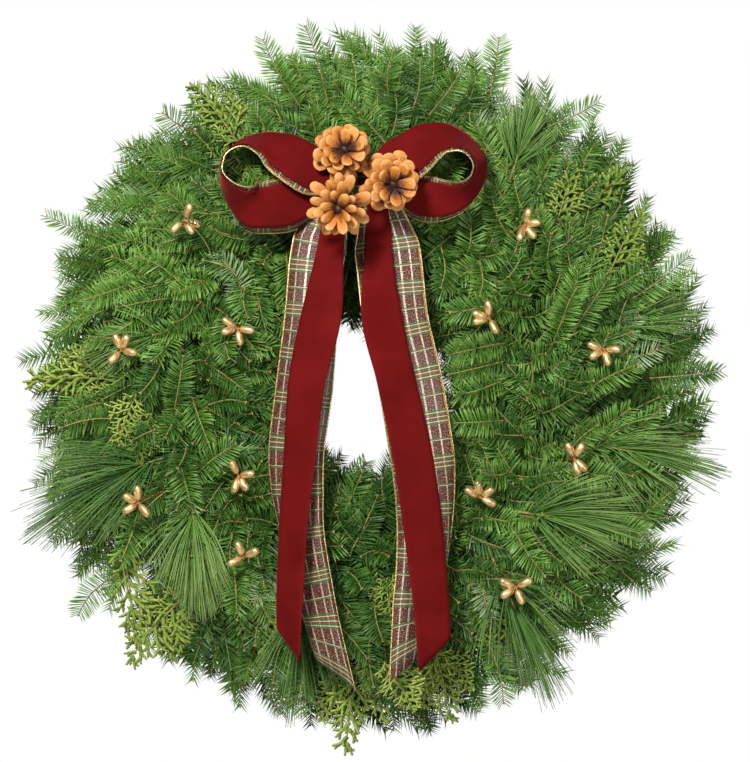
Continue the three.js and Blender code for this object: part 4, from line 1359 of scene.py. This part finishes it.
def edge_wire(name, grid, column):
    """A gold-wrapped wire along one edge of a ribbon: a five-sided tube along the column of points."""
    bm = numbered_bmesh()
    thick = 0.72 * MM
    wire = new_template("edge wire", lambda made: add_stem(made, 1.0, thick, thick, 5, len(grid), 0))
    add_bent(bm, wire, grid[:, column], spray=0.5)
    return finish_piece(bm, name, (GOLD_THREAD,))


print("velvet", VELVET_WIDTH, "mm wide, plaid", PLAID_WIDTH, "mm")

# %% [markdown]
# ## Velvet, sheer plaid and gold thread
# Velvet is a short pile on end: dark where the eye looks into it and bright at a grazing angle, which is
# what the sheen of the shader does. The plaid is woven from thin threads, so it is drawn as bars of
# colour along and across the ribbon, read from its UV map. Its squares are sheer and its silver threads
# are metal foil.


# %% Velvet
def velvet_material():
    sheen = {"Sheen Weight": 0.2, "Sheen Roughness": 0.35, "Sheen Tint": (0.9, 0.12, 0.12, 1)}
    evenly = {"Roughness": 0.85, "Specular IOR Level": 0.1, **sheen}
    material, tree, shader = new_material("crimson velvet", evenly)
    brushed = add_flecks(tree, 28, 2, (0.35, (0.105, 0.002, 0.002)), (0.7, (0.14, 0.004, 0.004)))
    feed(shader, {"Base Color": brushed["Color"], "Normal": bump(tree, noise(tree, 1100), 0.35, 0.3)})
    return material


VELVET = velvet_material()
print("velvet ready")

# %% Plaid
SILVER, GREEN, WINE, GOLD = (0.7, 0.63, 0.44), (0.04, 0.14, 0.03), (0.24, 0.03, 0.02), (0.8, 0.52, 0.16)
REPEAT = 37.4
# Threads over the wine squares: where each stripe starts and ends in millimetres, and its colour.
CROSS_STRIPES = [
    (0.0, 1.5, GREEN), (1.9, 2.5, SILVER), (2.9, 4.3, GREEN), (4.6, 5.4, WINE), (5.7, 6.3, SILVER),
    (6.6, 8.0, GREEN), (8.3, 9.1, WINE), (9.4, 10.0, SILVER), (10.4, 12.0, GREEN), (23.4, 24.9, GREEN),
    (24.9, 25.4, SILVER),
]
LONG_STRIPES = [
    (0, 1.4, GOLD), (8.4, 9.6, SILVER), (16.9, 18.6, SILVER), (27.7, 29.3, SILVER), (38.4, 40.1, SILVER),
    (47.4, 48.6, SILVER), (55.6, 57, GOLD),
]


def stripes(tree, place, bars, long):
    """The colours of the bars, with hard edges, and a mask that is 1 on them and 0 between them."""
    colour = add_node(tree, "ValToRGB", {"Fac": place}, "Color")
    colour.node.color_ramp.interpolation = "CONSTANT"
    steps = colour.node.color_ramp.elements
    steps[0].color = steps[1].color = (0, 0, 0, 0)
    for start, end, thread in bars:
        steps.new(min(start / long, 0.999)).color = (*thread, 1)
        if end < long - 0.01:
            steps.new(end / long).color = (0, 0, 0, 0)
    return colour, colour.node.outputs["Alpha"]


def plaid_material():
    material, tree, shader = new_material("sheer plaid", {"Roughness": 0.5, "Specular IOR Level": 0.3})
    place = add_node(tree, "UVMap", {}, "UV", uv_map="ribbon")
    across = add_node(tree, "SeparateXYZ", {0: place}, "X")
    repeats = calculate(tree, "MULTIPLY", across.node.outputs["Y"], PLAID_WIDTH / REPEAT)
    cross_colour, cross = stripes(tree, calculate(tree, "FRACT", repeats), CROSS_STRIPES, REPEAT)
    long_colour, along = stripes(tree, across, LONG_STRIPES, PLAID_WIDTH)
    threads, glints = noise(tree, 70, 3, place), noise(tree, 62, 2, place)
    squares = ramp(tree, threads, (0.4, (0.035, 0.01, 0.005)), (0.6, (0.17, 0.04, 0.03)))
    # Silver flecks where the glint noise is high: partly the ribbon's glitter, partly its sparkle painted in
    # as bright colour.
    flecked = mix(tree, spread(tree, glints, 0.6, 0.66, 0, 0.8), squares, (*SILVER, 1))
    broken = calculate(tree, "MULTIPLY", along, spread(tree, glints, 0.42, 0.55, 0.15, 1))
    barred = mix(tree, broken, flecked, long_colour)
    woven = mix(tree, calculate(tree, "MULTIPLY", cross, 0.75), barred, cross_colour)
    foil = calculate(tree, "MULTIPLY", along, 0.35)
    cover = spread(tree, calculate(tree, "MAXIMUM", along, cross), 0, 1, 0.8, 1)
    weave = bump(tree, threads, 0.6, 0.25)
    feed(shader, {"Base Color": woven, "Metallic": foil, "Alpha": cover, "Normal": weave})
    return material


PLAID = plaid_material()
GOLD_THREAD = flecked_material(
    "gold thread", {"Roughness": 0.32, "Metallic": 0.85}, 850, 2,
    (0.4, (0.42, 0.24, 0.06)), (0.6, (1.0, 0.8, 0.42)), raised=(0.8, 0.3),
)
print("plaid repeats every", REPEAT, "mm")

# %% [markdown]
# Each sheet prints the size it was cut to: the length measured along its middle and the ribbon's full
# width. Solidify gives the velvet and the sheer plaid their thickness as the last step.


# %% Ribbons
def thicken(piece, thick):
    solid = piece.modifiers.new("thickness", "SOLIDIFY")
    solid.thickness = thick * MM
    solid.offset = 0


def lay_ribbon(name, edges, outs, rows, material, nodes, rests_on, wires=(), **shape):
    """A ribbon as a sheet of cloth, with gold wires in the edges that are named by their columns."""
    grid, run = ribbon_rows(edges, outs, rows, **shape)
    width = outs[-1] - outs[0]
    piece = ribbon_piece(name, grid, run, outs, width, material, nodes)
    thicken(piece, 0.45 if wires else 0.8)
    gold = [edge_wire(f"{name}_edge_{n + 1}", grid, column) for n, column in enumerate(wires)]
    print(f"{name}: {width} mm wide, {run[-1] / MM:.0f} mm long")


def loop_shown(out, across, middles):
    """Nearly all of a loop's lining is hidden at its top, and half of it shows below."""
    return 0.16 - 0.14 * across[:, 2:] if out > 0 else np.ones((len(middles), 1))


def tail_shown(out, across, middles):
    """The inner edges of the tails are turned back near the knot, and the outer edges towards the ends."""
    height = (middles[:, 2:] - MIDDLE.z) / MM
    left = np.arange(len(middles))[:, None] < len(middles) / 2
    if out > 0:
        return np.where(left, np.clip(0.45 - height / 150, 0.1, 0.45), 0.75)
    return np.where(left, 0.72, 1.0) * np.clip((height + 140) / 80, 0, 1)


HALF = VELVET_WIDTH / 2
LINING_OUTS = np.linspace(-HALF - PLAID_PROUD, PLAID_WIDTH - HALF - PLAID_PROUD, 17)
VELVET_OUTS = np.linspace(-HALF, HALF, 11)
PLAID_OUTS = np.linspace(-PLAID_WIDTH / 2, PLAID_WIDTH / 2, 15)
lay_ribbon("loops_velvet", LOOPS, VELVET_OUTS, LOOP_ROWS, VELVET, ("velvet_loops",), ["bow_wire"])
lay_ribbon(
    "loops_plaid", LOOPS, LINING_OUTS, LOOP_ROWS, PLAID, ("plaid_loops",), ["loops_velvet"], (0, -1),
    set_in=1.5, shown=loop_shown,
)
lay_ribbon(
    "tails_velvet", (TAIL_LEFT, TAIL_RIGHT), VELVET_OUTS, TAIL_ROWS, VELVET, ("velvet_tails",), ["bow_wire"],
    slant=0.7,
)
lay_ribbon(
    "tails_plaid", (PLAID_LEFT, PLAID_RIGHT), PLAID_OUTS, TAIL_ROWS, PLAID, ("plaid_tails",),
    ["tails_velvet"], (0, -1), slant=0.7, shown=tail_shown,
)
